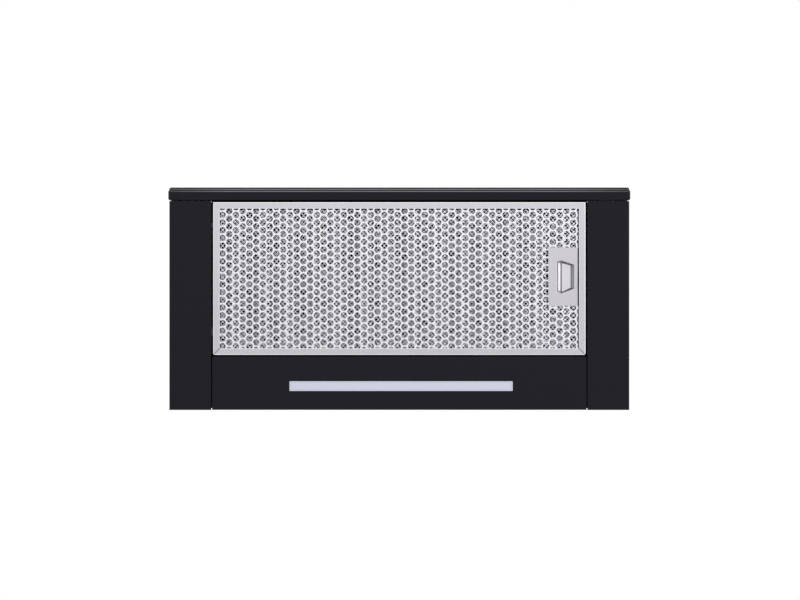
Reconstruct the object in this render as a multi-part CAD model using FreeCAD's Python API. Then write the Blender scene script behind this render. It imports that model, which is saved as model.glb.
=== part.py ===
import FreeCAD, Part
import math
import os

# Pull-out range hood, in millimetres.
# The origin is on the wall at mid width, level with the ledges that meet the cabinet's
# underside. +Z is up, the tray pulls out towards -Y and +X is the right, seen from the front.

Vector = FreeCAD.Vector

# ---------------------------------------------------------------- driving sizes

# Fixed body below the cabinet
BODY_WIDTH = 598.0
BODY_DEPTH = 271.5
LOWER_HEIGHT = 42.0
STRIP_WIDTH = 54.5
SHEET = 1.0
BEND = 2.0
SEAT = 0.3
LEDGE_DEPTH = 16.0
WEB_LIFT = 5.0
WINDOW_INSET = 21.0

# Upper box inside the cabinet
BOX_WIDTH = 512.0
BOX_DEPTH = 262.0
BOX_HEIGHT = 131.0
BOX_FLANGE = 12.0
BRACKET_REACH = 26.0
BRACKET_LENGTH = 80.0
BRACKET_LIFT = 60.0
BRACKET_HEIGHT = 30.0
BRACKET_HOLE = 5.0
BRACKET_HOLE_SPACING = 50.0
WALL_HOLE = 6.0
WALL_HOLE_SPACING = 400.0
WALL_HOLE_LIFT = 100.0

# Pull-out tray and fascia
TRAVEL = 170.0
TRAY_SHEET = 0.8
TRAY_BEND = 1.6
TRAY_GAP = 0.6
TRAY_PLAY = 1.0
TRAY_LIFT = 0.5
TRAY_REAR_GAP = 1.7
VISOR_OVERLAP = 11.0
FASCIA_WIDTH = 600.0
FASCIA_GAP = 1.5
FASCIA_DROP = 1.0
FASCIA_TOP_GAP = 2.0
GLASS = 4.0
GLASS_INSET = 1.2
CORNER_SHARE = 0.75
CARRIER_DEPTH = 12.0
CARRIER_WALL = 2.0
CAP = 1.5
CAP_PLUG = 6.0

# Telescopic rails
RAIL_WIDTH = 12.1
RAIL_HEIGHT = 17.0
RAIL_LENGTH = 190.0
RAIL_LIFT = 10.0
RAIL_SETBACK = 9.5
RAIL_SHEET = 1.2
RAIL_GAP = 0.3
RAIL_LIP_GAP = 3.0

# Grease filters
FILTER_HEIGHT = 9.0
FILTER_SHEET = 0.8
FILTER_BEND = 1.2
FILTER_SIDE_GAP = 0.85
FILTER_END_GAP = 1.8
FILTER_TOP_GAP = 0.4
FILTER_SEAL = 0.5
RIM = 8.8
FACE_SHEET = 0.6
FACE_PLAY = 0.45
HOLE = 7.8
HOLE_COLUMN_PITCH = 8.8
HOLE_ROW_PITCH = 10.05
FIRST_COLUMN = 1.65
FIRST_ROW = 2.65
MESH_LAYERS = 3
MESH_WAVE = 12.0
MESH_SHEET = 0.3
MESH_GAP = 0.1
TAB_WIDTH = 12.0
TAB_SHEET = 1.0
TAB_REACH = 4.25
TAB_OFFSET = 68.8

# Filter latch
LATCH_WIDTH = 38.0
LATCH_RIM_GAP = 1.8
LATCH_LENGTH = 76.0
LATCH_FORWARD = 2.2
LATCH_TRAVEL = 5.0
LATCH_SHEET = 0.8
LATCH_PLAY = 0.1
CUP_DEPTH = 6.0
CUP_WALL = 0.8
CUP_MARGIN = 3.0
CUP_LEFT = 8.8
CUP_RIGHT = 14.8
CUP_PEAK = 2.9
CUP_LEFT_HALF = 19.0
CUP_PEAK_HALF = 21.9
CUP_RIGHT_HALF = 15.6
CUP_SLOPE = 5.7
BOLT_WIDTH = 14.0
BOLT_SHEET = 1.2
BOLT_REACH = 2.2
SLOT_PLAY = 0.3

# Light panel and lamp
PANEL_DEPTH = 69.8
PANEL_SIDE_GAP = 1.2
PANEL_FLANGE = 13.0
LAMP_LENGTH = 291.0
LAMP_WIDTH = 13.5
LAMP_SETBACK = 31.0
LAMP_SHIFT = 2.3
LENS_GAP = 0.3
LENS_FLANGE = 3.0
LENS_SHEET = 1.5
HOLDER_HEIGHT = 14.0
HOLDER_FLANGE = 8.5
HOLDER_GAP = 1.75
BOARD_WIDTH = 12.0
BOARD_SHEET = 1.6
LED_COUNT = 24
LED_SIZE = 3.0
LED_HEIGHT = 0.8
DRIVER_LENGTH = 64.0
DRIVER_WIDTH = 34.0
DRIVER_HEIGHT = 18.0
DRIVER_GAP = 6.0

# Outlet collar and its two flaps
COLLAR_DIAMETER = 119.0
COLLAR_WALL = 2.0
COLLAR_HEIGHT = 30.0
COLLAR_FLANGE = 15.5
FLANGE_SHEET = 2.0
STOP_WIDTH = 3.0
STOP_SHEET = 1.2
STOP_LIFT = 3.0
FLAP_SHEET = 1.2
FLAP_PLAY = 0.7
BAR_WIDTH = 3.0
PIN_RADIUS = 1.0
BARREL_RADIUS = 1.5
PIN_PLAY = 0.05
LUG_LENGTH = 8.0

# Blower
IMPELLER_RADIUS = 50.0
IMPELLER_LENGTH = 70.0
IMPELLER_RING = 5.0
IMPELLER_SHEET = 1.5
BLADE_COUNT = 32
BLADE_SHEET = 1.0
BLADE_CHORD = 9.0
BLADE_ANGLE = 35.0
FULL_TURN = 360.0
BLOWER_HALF_WIDTH = 125.0
BLOWER_WALL = 2.0
BLOWER_OFFSET = 35.0
BLOWER_AXIS_LIFT = 58.0
SCROLL_GAP = 4.0
SCROLL_FRONT = 80.0
TONGUE_ANGLE = 110.0
SLANT_ANGLE = 225.0
MOUTH_MARGIN = 1.5
INLET_RADIUS = 42.0
INLET_LIP = 3.0
MOTOR_RADIUS = 42.0
MOTOR_LENGTH = 60.0
MOTOR_WALL = 2.0
MOTOR_GAP = 12.0
STATOR_LENGTH = 32.0
ROTOR_RADIUS = 22.0
ROTOR_GAP = 0.6
SHAFT_RADIUS = 4.0
SHAFT_PLAY = 0.05
BEARING_RADIUS = 9.0
BEARING_LENGTH = 7.0
BOSS_WALL = 3.0
HUB_RADIUS = 12.0
HUB_LENGTH = 18.0
SADDLE_HALF_LENGTH = 20.0
SADDLE_HALF_WIDTH = 30.0
STRAP_WIDTH = 16.0
STRAP_SHEET = 1.0

# Electrics and fasteners
CAPACITOR_RADIUS = 15.0
CAPACITOR_LENGTH = 60.0
CAPACITOR_X = 185.0
CAPACITOR_Y = -150.0
TERMINAL_X = 190.0
TERMINAL_Y = -45.0
TERMINAL_LENGTH = 90.0
TERMINAL_WIDTH = 50.0
TERMINAL_HEIGHT = 30.0
TERMINAL_WALL = 2.0
GLAND_RADIUS = 8.0
GLAND_NUT = 12.0
GLAND_NUT_SIDES = 6
GLAND_NUT_HEIGHT = 5.0
GLAND_HEIGHT = 17.0
GLAND_BORE = 3.75
SCREW_RADIUS = 1.9
SCREW_HEAD = 3.8
SCREW_HEAD_HEIGHT = 2.0
SCREW_LENGTH = 8.0
SCREW_PLAY = 0.1
TRAY_SCREW_INNER = 100.0
TRAY_SCREW_OUTER = 200.0
BUTTON_COUNT = 5
BUTTON_RADIUS = 4.5
BUTTON_PITCH = 24.0
BUTTON_PLAY = 0.3
BUTTON_FLANGE_PLAY = 0.1
BUTTON_TRAVEL = 2.0
BUTTON_FLANGE = 1.1
BUTTON_STEM = 1.5
SWITCH_HEIGHT = 20.0
SWITCH_MARGIN = 14.0
SWITCH_DEPTH = 4.5

# ---------------------------------------------------------------- derived places

UNDER = -LOWER_HEIGHT
FRONT = -BODY_DEPTH
BODY_SIDE = BODY_WIDTH / 2
STRIP_EDGE = BODY_SIDE - STRIP_WIDTH
TRAY_SIDE = STRIP_EDGE - TRAY_GAP
WEB = TRAY_SIDE + RAIL_WIDTH
CROSSBAR_SIDE = WEB - BEND

RAIL_BOTTOM = UNDER + RAIL_LIFT
RAIL_TOP = RAIL_BOTTOM + RAIL_HEIGHT
RAIL_FRONT = FRONT + RAIL_SETBACK
RAIL_REAR = RAIL_FRONT + RAIL_LENGTH

LEDGE_TOP = -SHEET - FILTER_SEAL - FILTER_HEIGHT
LEDGE_BOTTOM = LEDGE_TOP - SHEET
PANEL_FRONT = -PANEL_DEPTH
REAR_BAR = PANEL_FRONT + SHEET + TRAY_SHEET

TRAY_TOP = LEDGE_BOTTOM - TRAY_PLAY
TRAY_BOTTOM = UNDER + TRAY_LIFT
TRAY_REAR = PANEL_FRONT - TRAY_REAR_GAP
FASCIA_REAR = FRONT - FASCIA_GAP
CARRIER_FRONT = FASCIA_REAR - CARRIER_DEPTH
FASCIA_FRONT = CARRIER_FRONT - GLASS
FASCIA_BOTTOM = UNDER - FASCIA_DROP
FASCIA_TOP = -FASCIA_TOP_GAP
FASCIA_SIDE = FASCIA_WIDTH / 2
CARRIER_SIDE = FASCIA_SIDE - CAP
FASCIA_MIDDLE = (FASCIA_BOTTOM + FASCIA_TOP) / 2

FILTER_SIDE = TRAY_SIDE - TRAY_SHEET - FILTER_SIDE_GAP
FILTER_FRONT = FASCIA_REAR + TRAY_SHEET + FILTER_END_GAP
FILTER_REAR = PANEL_FRONT - FASCIA_GAP
FILTER_DEPTH = FILTER_REAR - FILTER_FRONT
FILTER_MIDDLE = (FILTER_FRONT + FILTER_REAR) / 2
FILTER_TOP = UNDER + FILTER_HEIGHT
FACE_BOTTOM = UNDER + FILTER_SHEET
FACE_TOP = FACE_BOTTOM + FACE_SHEET
VISOR_REAR = FILTER_FRONT + TRAVEL + VISOR_OVERLAP

FIXED_FRONT = (FRONT + REAR_BAR - FILTER_DEPTH) / 2
FIXED_REAR = FIXED_FRONT + FILTER_DEPTH

LATCH_RIGHT = FILTER_SIDE - RIM - LATCH_RIM_GAP
LATCH_LEFT = LATCH_RIGHT - LATCH_WIDTH
LATCH_Y = FILTER_MIDDLE - LATCH_FORWARD
CUP_X = LATCH_RIGHT - LATCH_WIDTH / 2
FLANGE_BOTTOM = FACE_BOTTOM + LATCH_PLAY
FLANGE_TOP = FLANGE_BOTTOM + LATCH_SHEET
FLANGE_LEFT = CUP_X - CUP_LEFT - CUP_WALL
FLANGE_RIGHT = LATCH_RIGHT - LATCH_PLAY
FLANGE_HALF = CUP_PEAK_HALF + CUP_WALL + CUP_MARGIN
POCKET_LEFT = FLANGE_LEFT - LATCH_TRAVEL - SLOT_PLAY
POCKET_RIGHT = FILTER_SIDE - RIM + FACE_PLAY
POCKET_HALF = FLANGE_HALF + SLOT_PLAY
BOLT_BOTTOM = max(FACE_TOP, FLANGE_BOTTOM) + LATCH_PLAY * 2
BOLT_TOP = BOLT_BOTTOM + BOLT_SHEET
BOLT_TIP = TRAY_SIDE + BOLT_REACH
TAB_BOTTOM = FACE_TOP
TAB_TIP = FILTER_SIDE + TAB_REACH
SWING_Z = TAB_BOTTOM - SLOT_PLAY / 2

BOX_SIDE = BOX_WIDTH / 2
ROOF = BOX_HEIGHT - SHEET
OUTLET_Y = -BOX_DEPTH / 2
COLLAR_OUTER = COLLAR_DIAMETER / 2
COLLAR_INNER = COLLAR_OUTER - COLLAR_WALL
COLLAR_BASE = BOX_HEIGHT
STOP_BOTTOM = COLLAR_BASE + STOP_LIFT
STOP_TOP = STOP_BOTTOM + STOP_SHEET
FLAP_BOTTOM = STOP_TOP + SEAT
HINGE_OFFSET = BAR_WIDTH / 2 + BARREL_RADIUS + SEAT
HINGE_Z = FLAP_BOTTOM + BARREL_RADIUS
LUG_START = COLLAR_INNER - LUG_LENGTH
FLAP_RADIUS = COLLAR_INNER - FLAP_PLAY

AXIS_Y = OUTLET_Y + BLOWER_OFFSET
AXIS_Z = BLOWER_AXIS_LIFT
SCROLL_RADIUS = IMPELLER_RADIUS + SCROLL_GAP
MOUTH_HALF = COLLAR_INNER + MOUTH_MARGIN
IMPELLER_START = MOTOR_LENGTH / 2 + MOTOR_GAP
IMPELLER_END = IMPELLER_START + IMPELLER_LENGTH

LAMP_Y = -LAMP_SETBACK
PANEL_SIDE = STRIP_EDGE - PANEL_SIDE_GAP
PANEL_TOP = UNDER + SHEET
HOLDER_HALF = LAMP_WIDTH / 2 + LENS_FLANGE + HOLDER_GAP

CAVITY_FRONT = CARRIER_FRONT + CARRIER_WALL
CAVITY_REAR = FASCIA_REAR - CARRIER_WALL
SWITCH_FRONT = CAVITY_REAR - SWITCH_DEPTH
BUTTON_FLANGE_FRONT = CAVITY_FRONT + BUTTON_FLANGE_PLAY
BUTTON_FLANGE_REAR = SWITCH_FRONT - BUTTON_TRAVEL - SEAT
BUTTON_XS = [BUTTON_PITCH * (i - (BUTTON_COUNT - 1) / 2) for i in range(BUTTON_COUNT)]

X_AXIS = Vector(1, 0, 0)
Y_AXIS = Vector(0, 1, 0)
Z_AXIS = Vector(0, 0, 1)
DIRECTIONS = {"x": X_AXIS, "y": Y_AXIS, "z": Z_AXIS}

# ---------------------------------------------------------------- helpers


def block(x, y, z):
    """Box between a pair of limits on each axis."""
    return Part.makeBox(x[1] - x[0], y[1] - y[0], z[1] - z[0], Vector(x[0], y[0], z[0]))


def across(half):
    """Limits the same distance either side of the middle."""
    return (-half, half)


def around(middle, half):
    """Limits the same distance either side of a place."""
    return (middle - half, middle + half)


def rod(axis, start, radius, length):
    """Round bar from a start point along an axis."""
    return Part.makeCylinder(radius, length, start, DIRECTIONS[axis])


def tube(axis, start, outer, inner, length):
    """Round bar with a round bore."""
    return rod(axis, start, outer, length).cut(rod(axis, start, inner, length))


def other_side(shape):
    """The same piece for the left-hand side."""
    return shape.mirror(Vector(0, 0, 0), X_AXIS)


def lifted(u, v, axis, at):
    """Point of a flat profile, put on the plane square to the axis."""
    if axis == "x":
        return Vector(at, u, v)
    if axis == "y":
        return Vector(u, at, v)
    return Vector(u, v, at)


def prism(points, axis, start, end):
    """Polygon on the plane square to the axis, carried from start to end."""
    corners = [lifted(u, v, axis, start) for u, v in points]
    wire = Part.makePolygon(corners + corners[:1])
    return Part.Face(wire).extrude(DIRECTIONS[axis] * (end - start))


def unit(a, b):
    """Direction from one flat point to the next."""
    length = math.hypot(b[0] - a[0], b[1] - a[1])
    return ((b[0] - a[0]) / length, (b[1] - a[1]) / length)


def offset_path(points, distance):
    """Path moved to its left, with its corners kept sharp."""
    ways = [unit(a, b) for a, b in zip(points, points[1:])]
    lefts = [(-v, u) for u, v in ways]
    lefts = [lefts[0]] + lefts + [lefts[-1]]
    moved = []
    for (u, v), before, after in zip(points, lefts, lefts[1:]):
        share = distance / (1 + before[0] * after[0] + before[1] * after[1])
        moved.append((u + share * (before[0] + after[0]), v + share * (before[1] + after[1])))
    return moved


def turn_sides(points):
    """+1 for each inner corner that turns left, -1 for each that turns right."""
    sides = []
    for a, b, c in zip(points, points[1:], points[2:]):
        p = unit(a, b)
        q = unit(b, c)
        sides.append(1 if p[0] * q[1] - p[1] * q[0] > 0 else -1)
    return sides


def rounded_edges(points, radii, axis, at):
    """Straight and round edges along a path whose inner corners have these radii."""
    edges = []
    last = lifted(*points[0], axis, at)
    for before, corner, after, radius in zip(points, points[1:], points[2:], radii):
        back = unit(corner, before)
        on = unit(corner, after)
        middle = (back[0] + on[0], back[1] + on[1])
        half = math.acos(max(-1.0, min(1.0, back[0] * on[0] + back[1] * on[1]))) / 2
        reach = radius / math.tan(half)
        depth = radius / math.sin(half) - radius
        size = math.hypot(*middle)
        start = lifted(corner[0] + back[0] * reach, corner[1] + back[1] * reach, axis, at)
        end = lifted(corner[0] + on[0] * reach, corner[1] + on[1] * reach, axis, at)
        edges.append(Part.makeLine(last, start))
        if radius > 0:
            top = lifted(
                corner[0] + middle[0] / size * depth, corner[1] + middle[1] / size * depth, axis, at
            )
            edges.append(Part.Arc(start, top, end).toShape())
        last = end
    edges.append(Part.makeLine(last, lifted(*points[-1], axis, at)))
    return edges


def folded(points, sheet, bend, axis, start, end):
    """Bent sheet whose outer line is the path, with its thickness to the path's left."""
    sides = turn_sides(points)
    inner = offset_path(points, sheet)
    near = [bend if side > 0 else bend - sheet for side in sides]
    far = [bend - sheet if side > 0 else bend for side in sides]
    first = rounded_edges(points, near, axis, start)
    second = rounded_edges(inner, far, axis, start)
    closing = [
        Part.makeLine(lifted(*points[-1], axis, start), lifted(*inner[-1], axis, start)),
        Part.makeLine(lifted(*inner[0], axis, start), lifted(*points[0], axis, start)),
    ]
    wire = Part.Wire(Part.sortEdges(first + second + closing)[0])
    return Part.Face(wire).extrude(DIRECTIONS[axis] * (end - start))


def oblong(x, y, z):
    """Rectangular outline between limits along X and Y."""
    corners = [(x[0], y[0]), (x[1], y[0]), (x[1], y[1]), (x[0], y[1]), (x[0], y[0])]
    return Part.makePolygon([Vector(u, v, z) for u, v in corners])


def upright_edges(shape):
    """Edges of a shape that run along Z."""
    found = []
    for edge in shape.Edges:
        box = edge.BoundBox
        if box.ZLength > box.XLength + box.YLength:
            found.append(edge)
    return found


def screw(head_seat, direction):
    """Pan-head screw whose head stands on a seat, with its shank going the other way."""
    way = Vector(*direction)
    head = Part.makeCylinder(SCREW_HEAD, SCREW_HEAD_HEIGHT, head_seat, way)
    shank = Part.makeCylinder(SCREW_RADIUS, SCREW_LENGTH, head_seat, way.negative())
    return head.fuse(shank).removeSplitter()


def screw_hole(head_seat, direction, play):
    """Cutter for the hole under a screw."""
    way = Vector(*direction)
    start = head_seat + way * SCREW_HEAD_HEIGHT
    length = SCREW_LENGTH + 2 * SCREW_HEAD_HEIGHT
    return Part.makeCylinder(SCREW_RADIUS + play, length, start, way.negative())


# ---------------------------------------------------------------- fixed body


def side_channel():
    """Right-hand strip below the cabinet: bottom, outer wall, ledge, rail web and both ends."""
    path = [
        (STRIP_EDGE, UNDER),
        (BODY_SIDE, UNDER),
        (BODY_SIDE, 0),
        (WEB, 0),
        (WEB, UNDER + WEB_LIFT),
    ]
    shape = folded(path, SHEET, BEND, "y", FRONT, 0)
    for y in ((FRONT, FRONT + SHEET), (-SHEET, 0)):
        end = block((WEB + SHEET / 2, BODY_SIDE - SHEET / 2), y, (UNDER + SHEET / 2, -SHEET / 2))
        shape = shape.fuse(end)
    return shape.removeSplitter()


def plenum_frame():
    """Pan that joins the two channels and frames the way up to the blower."""
    lip = RAIL_TOP + RAIL_LIP_GAP
    path = [(WEB, lip), (WEB, 0), (-WEB, 0), (-WEB, lip)]
    pan = folded(path, SHEET, BEND, "y", FRONT, 0)
    window = block(
        across(WEB - WINDOW_INSET),
        (-BOX_DEPTH + BOX_FLANGE + SHEET, FIXED_REAR - LEDGE_DEPTH / 2),
        (-BEND, BEND),
    )
    return pan.cut(window)


def front_crossbar():
    """Angle across the front that holds the fixed filter's front edge."""
    path = [(FRONT, -SHEET), (FRONT, LEDGE_BOTTOM), (FRONT + LEDGE_DEPTH, LEDGE_BOTTOM)]
    return folded(path, SHEET, BEND, "x", -CROSSBAR_SIDE, CROSSBAR_SIDE)


def rear_crossbar():
    """Angle across the hood that holds the fixed filter's rear edge and the light panel's lip."""
    path = [(REAR_BAR - LEDGE_DEPTH, LEDGE_BOTTOM), (REAR_BAR, LEDGE_BOTTOM), (REAR_BAR, -SHEET)]
    return folded(path, SHEET, BEND, "x", -CROSSBAR_SIDE, CROSSBAR_SIDE)


def roof_screw_seats():
    """Places of the screws that hold the roof to the box flange."""
    x = BOX_SIDE - SHEET - BOX_FLANGE / 2
    front = -BOX_DEPTH + SHEET + BOX_FLANGE / 2
    seats = [Vector(side * x, y, BOX_HEIGHT) for side in (-1, 1) for y in (front, OUTLET_Y, -BOX_FLANGE)]
    return seats


def bracket_screw_seats():
    """Places of the screws that hold the right-hand bracket to the box wall."""
    x = BOX_SIDE + SHEET
    z = BRACKET_LIFT + BRACKET_HEIGHT / 2
    return [Vector(x, OUTLET_Y + side * BRACKET_HOLE_SPACING / 2, z) for side in (-1, 1)]


def upper_box():
    """Front and side walls of the box, folded from one sheet, with flanges top and bottom."""
    path = [
        (-BOX_SIDE, -SHEET),
        (-BOX_SIDE, -BOX_DEPTH),
        (BOX_SIDE, -BOX_DEPTH),
        (BOX_SIDE, -SHEET),
    ]
    shape = folded(path, SHEET, BEND, "z", 0, ROOF)
    inner = BOX_SIDE - SHEET / 2
    reach = inner - BOX_FLANGE
    front = -BOX_DEPTH + SHEET / 2
    for z in ((0, SHEET), (ROOF - SHEET, ROOF)):
        shape = shape.fuse(block(across(inner - BEND), (front, front + BOX_FLANGE), z))
        for side in ((reach, inner), (-inner, -reach)):
            shape = shape.fuse(block(side, (front + BEND, -SHEET), z))
    for seat in roof_screw_seats():
        shape = shape.cut(screw_hole(seat, (0, 0, 1), SCREW_PLAY))
    for seat in bracket_screw_seats():
        hole = screw_hole(seat, (1, 0, 0), SCREW_PLAY)
        shape = shape.cut(hole).cut(other_side(hole))
    return shape.removeSplitter()


def rear_panel():
    """Back of the box, with the holes for the wall screws."""
    panel = block(across(BOX_SIDE), (-SHEET, 0), (0, ROOF))
    for side in (-1, 1):
        start = Vector(side * WALL_HOLE_SPACING / 2, -SHEET, WALL_HOLE_LIFT)
        panel = panel.cut(rod("y", start, WALL_HOLE / 2, SHEET))
    return panel


def top_panel():
    """Roof of the box, with the outlet, the gland hole and the screw holes."""
    panel = block(across(BOX_SIDE), (-BOX_DEPTH, 0), (ROOF, BOX_HEIGHT))
    panel = panel.cut(rod("z", Vector(0, OUTLET_Y, ROOF), COLLAR_INNER, SHEET))
    panel = panel.cut(rod("z", Vector(TERMINAL_X, TERMINAL_Y, ROOF), GLAND_RADIUS + SCREW_PLAY, SHEET))
    for seat in roof_screw_seats():
        panel = panel.cut(screw_hole(seat, (0, 0, 1), SCREW_PLAY))
    return panel


def cabinet_bracket():
    """Right-hand arm that screws to the cabinet's side panel."""
    path = [
        (BOX_SIDE, BRACKET_LIFT + BRACKET_HEIGHT),
        (BOX_SIDE, BRACKET_LIFT),
        (BOX_SIDE + BRACKET_REACH, BRACKET_LIFT),
        (BOX_SIDE + BRACKET_REACH, BRACKET_LIFT + BRACKET_HEIGHT),
    ]
    y = around(OUTLET_Y, BRACKET_LENGTH / 2)
    shape = folded(path, SHEET, BEND, "y", y[0], y[1])
    for seat in bracket_screw_seats():
        shape = shape.cut(screw_hole(seat, (1, 0, 0), SCREW_PLAY))
        start = Vector(BOX_SIDE + BRACKET_REACH - SHEET, seat.y, seat.z)
        shape = shape.cut(rod("x", start, BRACKET_HOLE / 2, SHEET))
    return shape


def housing_screws():
    """Screws of the roof and the brackets."""
    screws = [screw(seat, (0, 0, 1)) for seat in roof_screw_seats()]
    for seat in bracket_screw_seats():
        right = screw(seat, (1, 0, 0))
        screws += [right, other_side(right)]
    return Part.makeCompound(screws)


# ---------------------------------------------------------------- outlet


def hinge_lugs():
    """Ears inside the collar that hold the flap pins."""
    lugs = []
    half = HINGE_OFFSET + BARREL_RADIUS
    root = COLLAR_INNER + COLLAR_WALL / 2
    for x in ((LUG_START, root), (-root, -LUG_START)):
        lugs.append(block(x, around(OUTLET_Y, half), (STOP_BOTTOM, HINGE_Z + 2 * PIN_RADIUS)))
    return lugs


def outlet_collar():
    """Duct collar with its flange, its stop ring, its middle bar and the flap lugs."""
    centre = Vector(0, OUTLET_Y, COLLAR_BASE)
    shape = rod("z", centre, COLLAR_OUTER, COLLAR_HEIGHT)
    shape = shape.fuse(rod("z", centre, COLLAR_OUTER + COLLAR_FLANGE, FLANGE_SHEET))
    shape = shape.cut(rod("z", centre, COLLAR_INNER, COLLAR_HEIGHT))
    stop = tube(
        "z",
        Vector(0, OUTLET_Y, STOP_BOTTOM),
        COLLAR_INNER + COLLAR_WALL / 2,
        COLLAR_INNER - STOP_WIDTH,
        STOP_SHEET,
    )
    length = COLLAR_INNER + COLLAR_WALL / 2
    bar = block(across(length), around(OUTLET_Y, BAR_WIDTH / 2), (STOP_BOTTOM, HINGE_Z))
    shape = shape.fuse([stop, bar] + hinge_lugs())
    for side in (-1, 1):
        start = Vector(-COLLAR_INNER, OUTLET_Y + side * HINGE_OFFSET, HINGE_Z)
        shape = shape.cut(rod("x", start, PIN_RADIUS + PIN_PLAY, 2 * COLLAR_INNER))
    return shape.removeSplitter()


def flap(side):
    """Half-round flap with its barrel and pins, in front of the bar (side -1) or behind it (+1)."""
    hinge_y = OUTLET_Y + side * HINGE_OFFSET
    disc = rod("z", Vector(0, OUTLET_Y, FLAP_BOTTOM), FLAP_RADIUS, FLAP_SHEET)
    far = OUTLET_Y + side * COLLAR_OUTER
    half = block(across(COLLAR_OUTER), sorted((hinge_y, far)), (FLAP_BOTTOM, FLAP_BOTTOM + FLAP_SHEET))
    plate = disc.common(half)
    clear = HINGE_OFFSET + BARREL_RADIUS + 2 * PIN_RADIUS
    reach = LUG_START - SEAT
    for x in ((reach, COLLAR_OUTER), (-COLLAR_OUTER, -reach)):
        notch = block(x, around(OUTLET_Y, clear), around(FLAP_BOTTOM, COLLAR_HEIGHT / 2))
        plate = plate.cut(notch)
    barrel = rod("x", Vector(-reach, hinge_y, HINGE_Z), BARREL_RADIUS, 2 * reach)
    pin_reach = LUG_START + LUG_LENGTH / 2
    pin = rod("x", Vector(-pin_reach, hinge_y, HINGE_Z), PIN_RADIUS, 2 * pin_reach)
    return plate.fuse([barrel, pin]).removeSplitter()


# ---------------------------------------------------------------- blower


def scroll_outline(wall):
    """Side outline of the scroll on the YZ plane, grown outwards by a wall."""
    radius = SCROLL_RADIUS + wall
    tongue = math.radians(TONGUE_ANGLE)
    start = Vector(0, OUTLET_Y + MOUTH_HALF + wall, ROOF)
    tip = Vector(0, AXIS_Y + radius * math.cos(tongue), AXIS_Z + radius * math.sin(tongue))
    rear = Vector(0, AXIS_Y + radius, AXIS_Z)
    bottom = Vector(0, AXIS_Y, AXIS_Z - radius)
    width = SCROLL_FRONT + wall
    slant = math.radians(SLANT_ANGLE)
    curve = Vector(0, AXIS_Y + width * math.cos(slant), AXIS_Z + radius * math.sin(slant))
    front = Vector(0, AXIS_Y - width, AXIS_Z)
    end = Vector(0, OUTLET_Y - MOUTH_HALF - wall, ROOF)
    edges = [
        Part.makeLine(start, tip),
        Part.Arc(tip, rear, bottom).toShape(),
        Part.Arc(bottom, curve, front).toShape(),
        Part.makeLine(front, end),
        Part.makeLine(end, start),
    ]
    return Part.Face(Part.Wire(edges))


def blower_casing():
    """Whole scroll casing, before it is split at the shaft's level."""
    half = BLOWER_HALF_WIDTH
    outer = scroll_outline(BLOWER_WALL)
    outer.translate(Vector(-half, 0, 0))
    shape = outer.extrude(X_AXIS * (2 * half))
    lip_start = Vector(-half - INLET_LIP, AXIS_Y, AXIS_Z)
    lip = rod("x", lip_start, INLET_RADIUS + BLOWER_WALL, 2 * (half + INLET_LIP))
    shape = shape.fuse(lip)
    inner = scroll_outline(0)
    inner.translate(Vector(-half + BLOWER_WALL, 0, 0))
    shape = shape.cut(inner.extrude(X_AXIS * (2 * (half - BLOWER_WALL))))
    return shape.cut(rod("x", lip_start, INLET_RADIUS, 2 * (half + INLET_LIP)))


def blower_shell(upper):
    """Upper or lower half of the casing."""
    reach = 2 * BLOWER_HALF_WIDTH
    z = (AXIS_Z, BOX_HEIGHT) if upper else (-BOX_HEIGHT, AXIS_Z)
    return blower_casing().common(block(across(reach), around(OUTLET_Y, reach), z)).removeSplitter()


def impeller():
    """Right-hand squirrel-cage impeller: hub disc, curved ring of blades and end ring."""
    centre = Vector(IMPELLER_START, AXIS_Y, AXIS_Z)
    disc = rod("x", centre, IMPELLER_RADIUS, IMPELLER_SHEET)
    hub = rod("x", centre, HUB_RADIUS, HUB_LENGTH)
    ring_start = Vector(IMPELLER_END - IMPELLER_SHEET, AXIS_Y, AXIS_Z)
    ring = tube("x", ring_start, IMPELLER_RADIUS, IMPELLER_RADIUS - IMPELLER_RING, IMPELLER_SHEET)
    outer = IMPELLER_RADIUS - SHEET / 2
    blade = block(
        (IMPELLER_START + IMPELLER_SHEET / 2, IMPELLER_END - IMPELLER_SHEET / 2),
        (outer - BLADE_CHORD, outer),
        across(BLADE_SHEET / 2),
    )
    blade.rotate(Vector(0, outer, 0), X_AXIS, BLADE_ANGLE)
    blade.translate(Vector(0, AXIS_Y, AXIS_Z))
    blades = []
    for i in range(BLADE_COUNT):
        copy = blade.copy()
        copy.rotate(centre, X_AXIS, FULL_TURN / BLADE_COUNT * i)
        blades.append(copy)
    shape = disc.fuse([hub, ring] + blades)
    limit = rod("x", centre, IMPELLER_RADIUS, IMPELLER_LENGTH)
    shape = shape.common(limit)
    return shape.cut(rod("x", centre, SHAFT_RADIUS + SHAFT_PLAY, HUB_LENGTH)).removeSplitter()


def motor_housing():
    """Motor can with a bearing boss in each end."""
    half = MOTOR_LENGTH / 2
    start = Vector(-half, AXIS_Y, AXIS_Z)
    shape = rod("x", start, MOTOR_RADIUS, MOTOR_LENGTH)
    inside = Vector(-half + MOTOR_WALL, AXIS_Y, AXIS_Z)
    shape = shape.cut(rod("x", inside, MOTOR_RADIUS - MOTOR_WALL, MOTOR_LENGTH - 2 * MOTOR_WALL))
    for x in (-half, half - BEARING_LENGTH):
        shape = shape.fuse(
            rod("x", Vector(x, AXIS_Y, AXIS_Z), BEARING_RADIUS + BOSS_WALL, BEARING_LENGTH)
        )
    return shape.cut(rod("x", start, BEARING_RADIUS, MOTOR_LENGTH)).removeSplitter()


def motor_stator():
    """Laminated ring round the rotor."""
    start = Vector(-STATOR_LENGTH / 2, AXIS_Y, AXIS_Z)
    outer = MOTOR_RADIUS - MOTOR_WALL - SEAT
    return tube("x", start, outer, ROTOR_RADIUS + ROTOR_GAP, STATOR_LENGTH)


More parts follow.
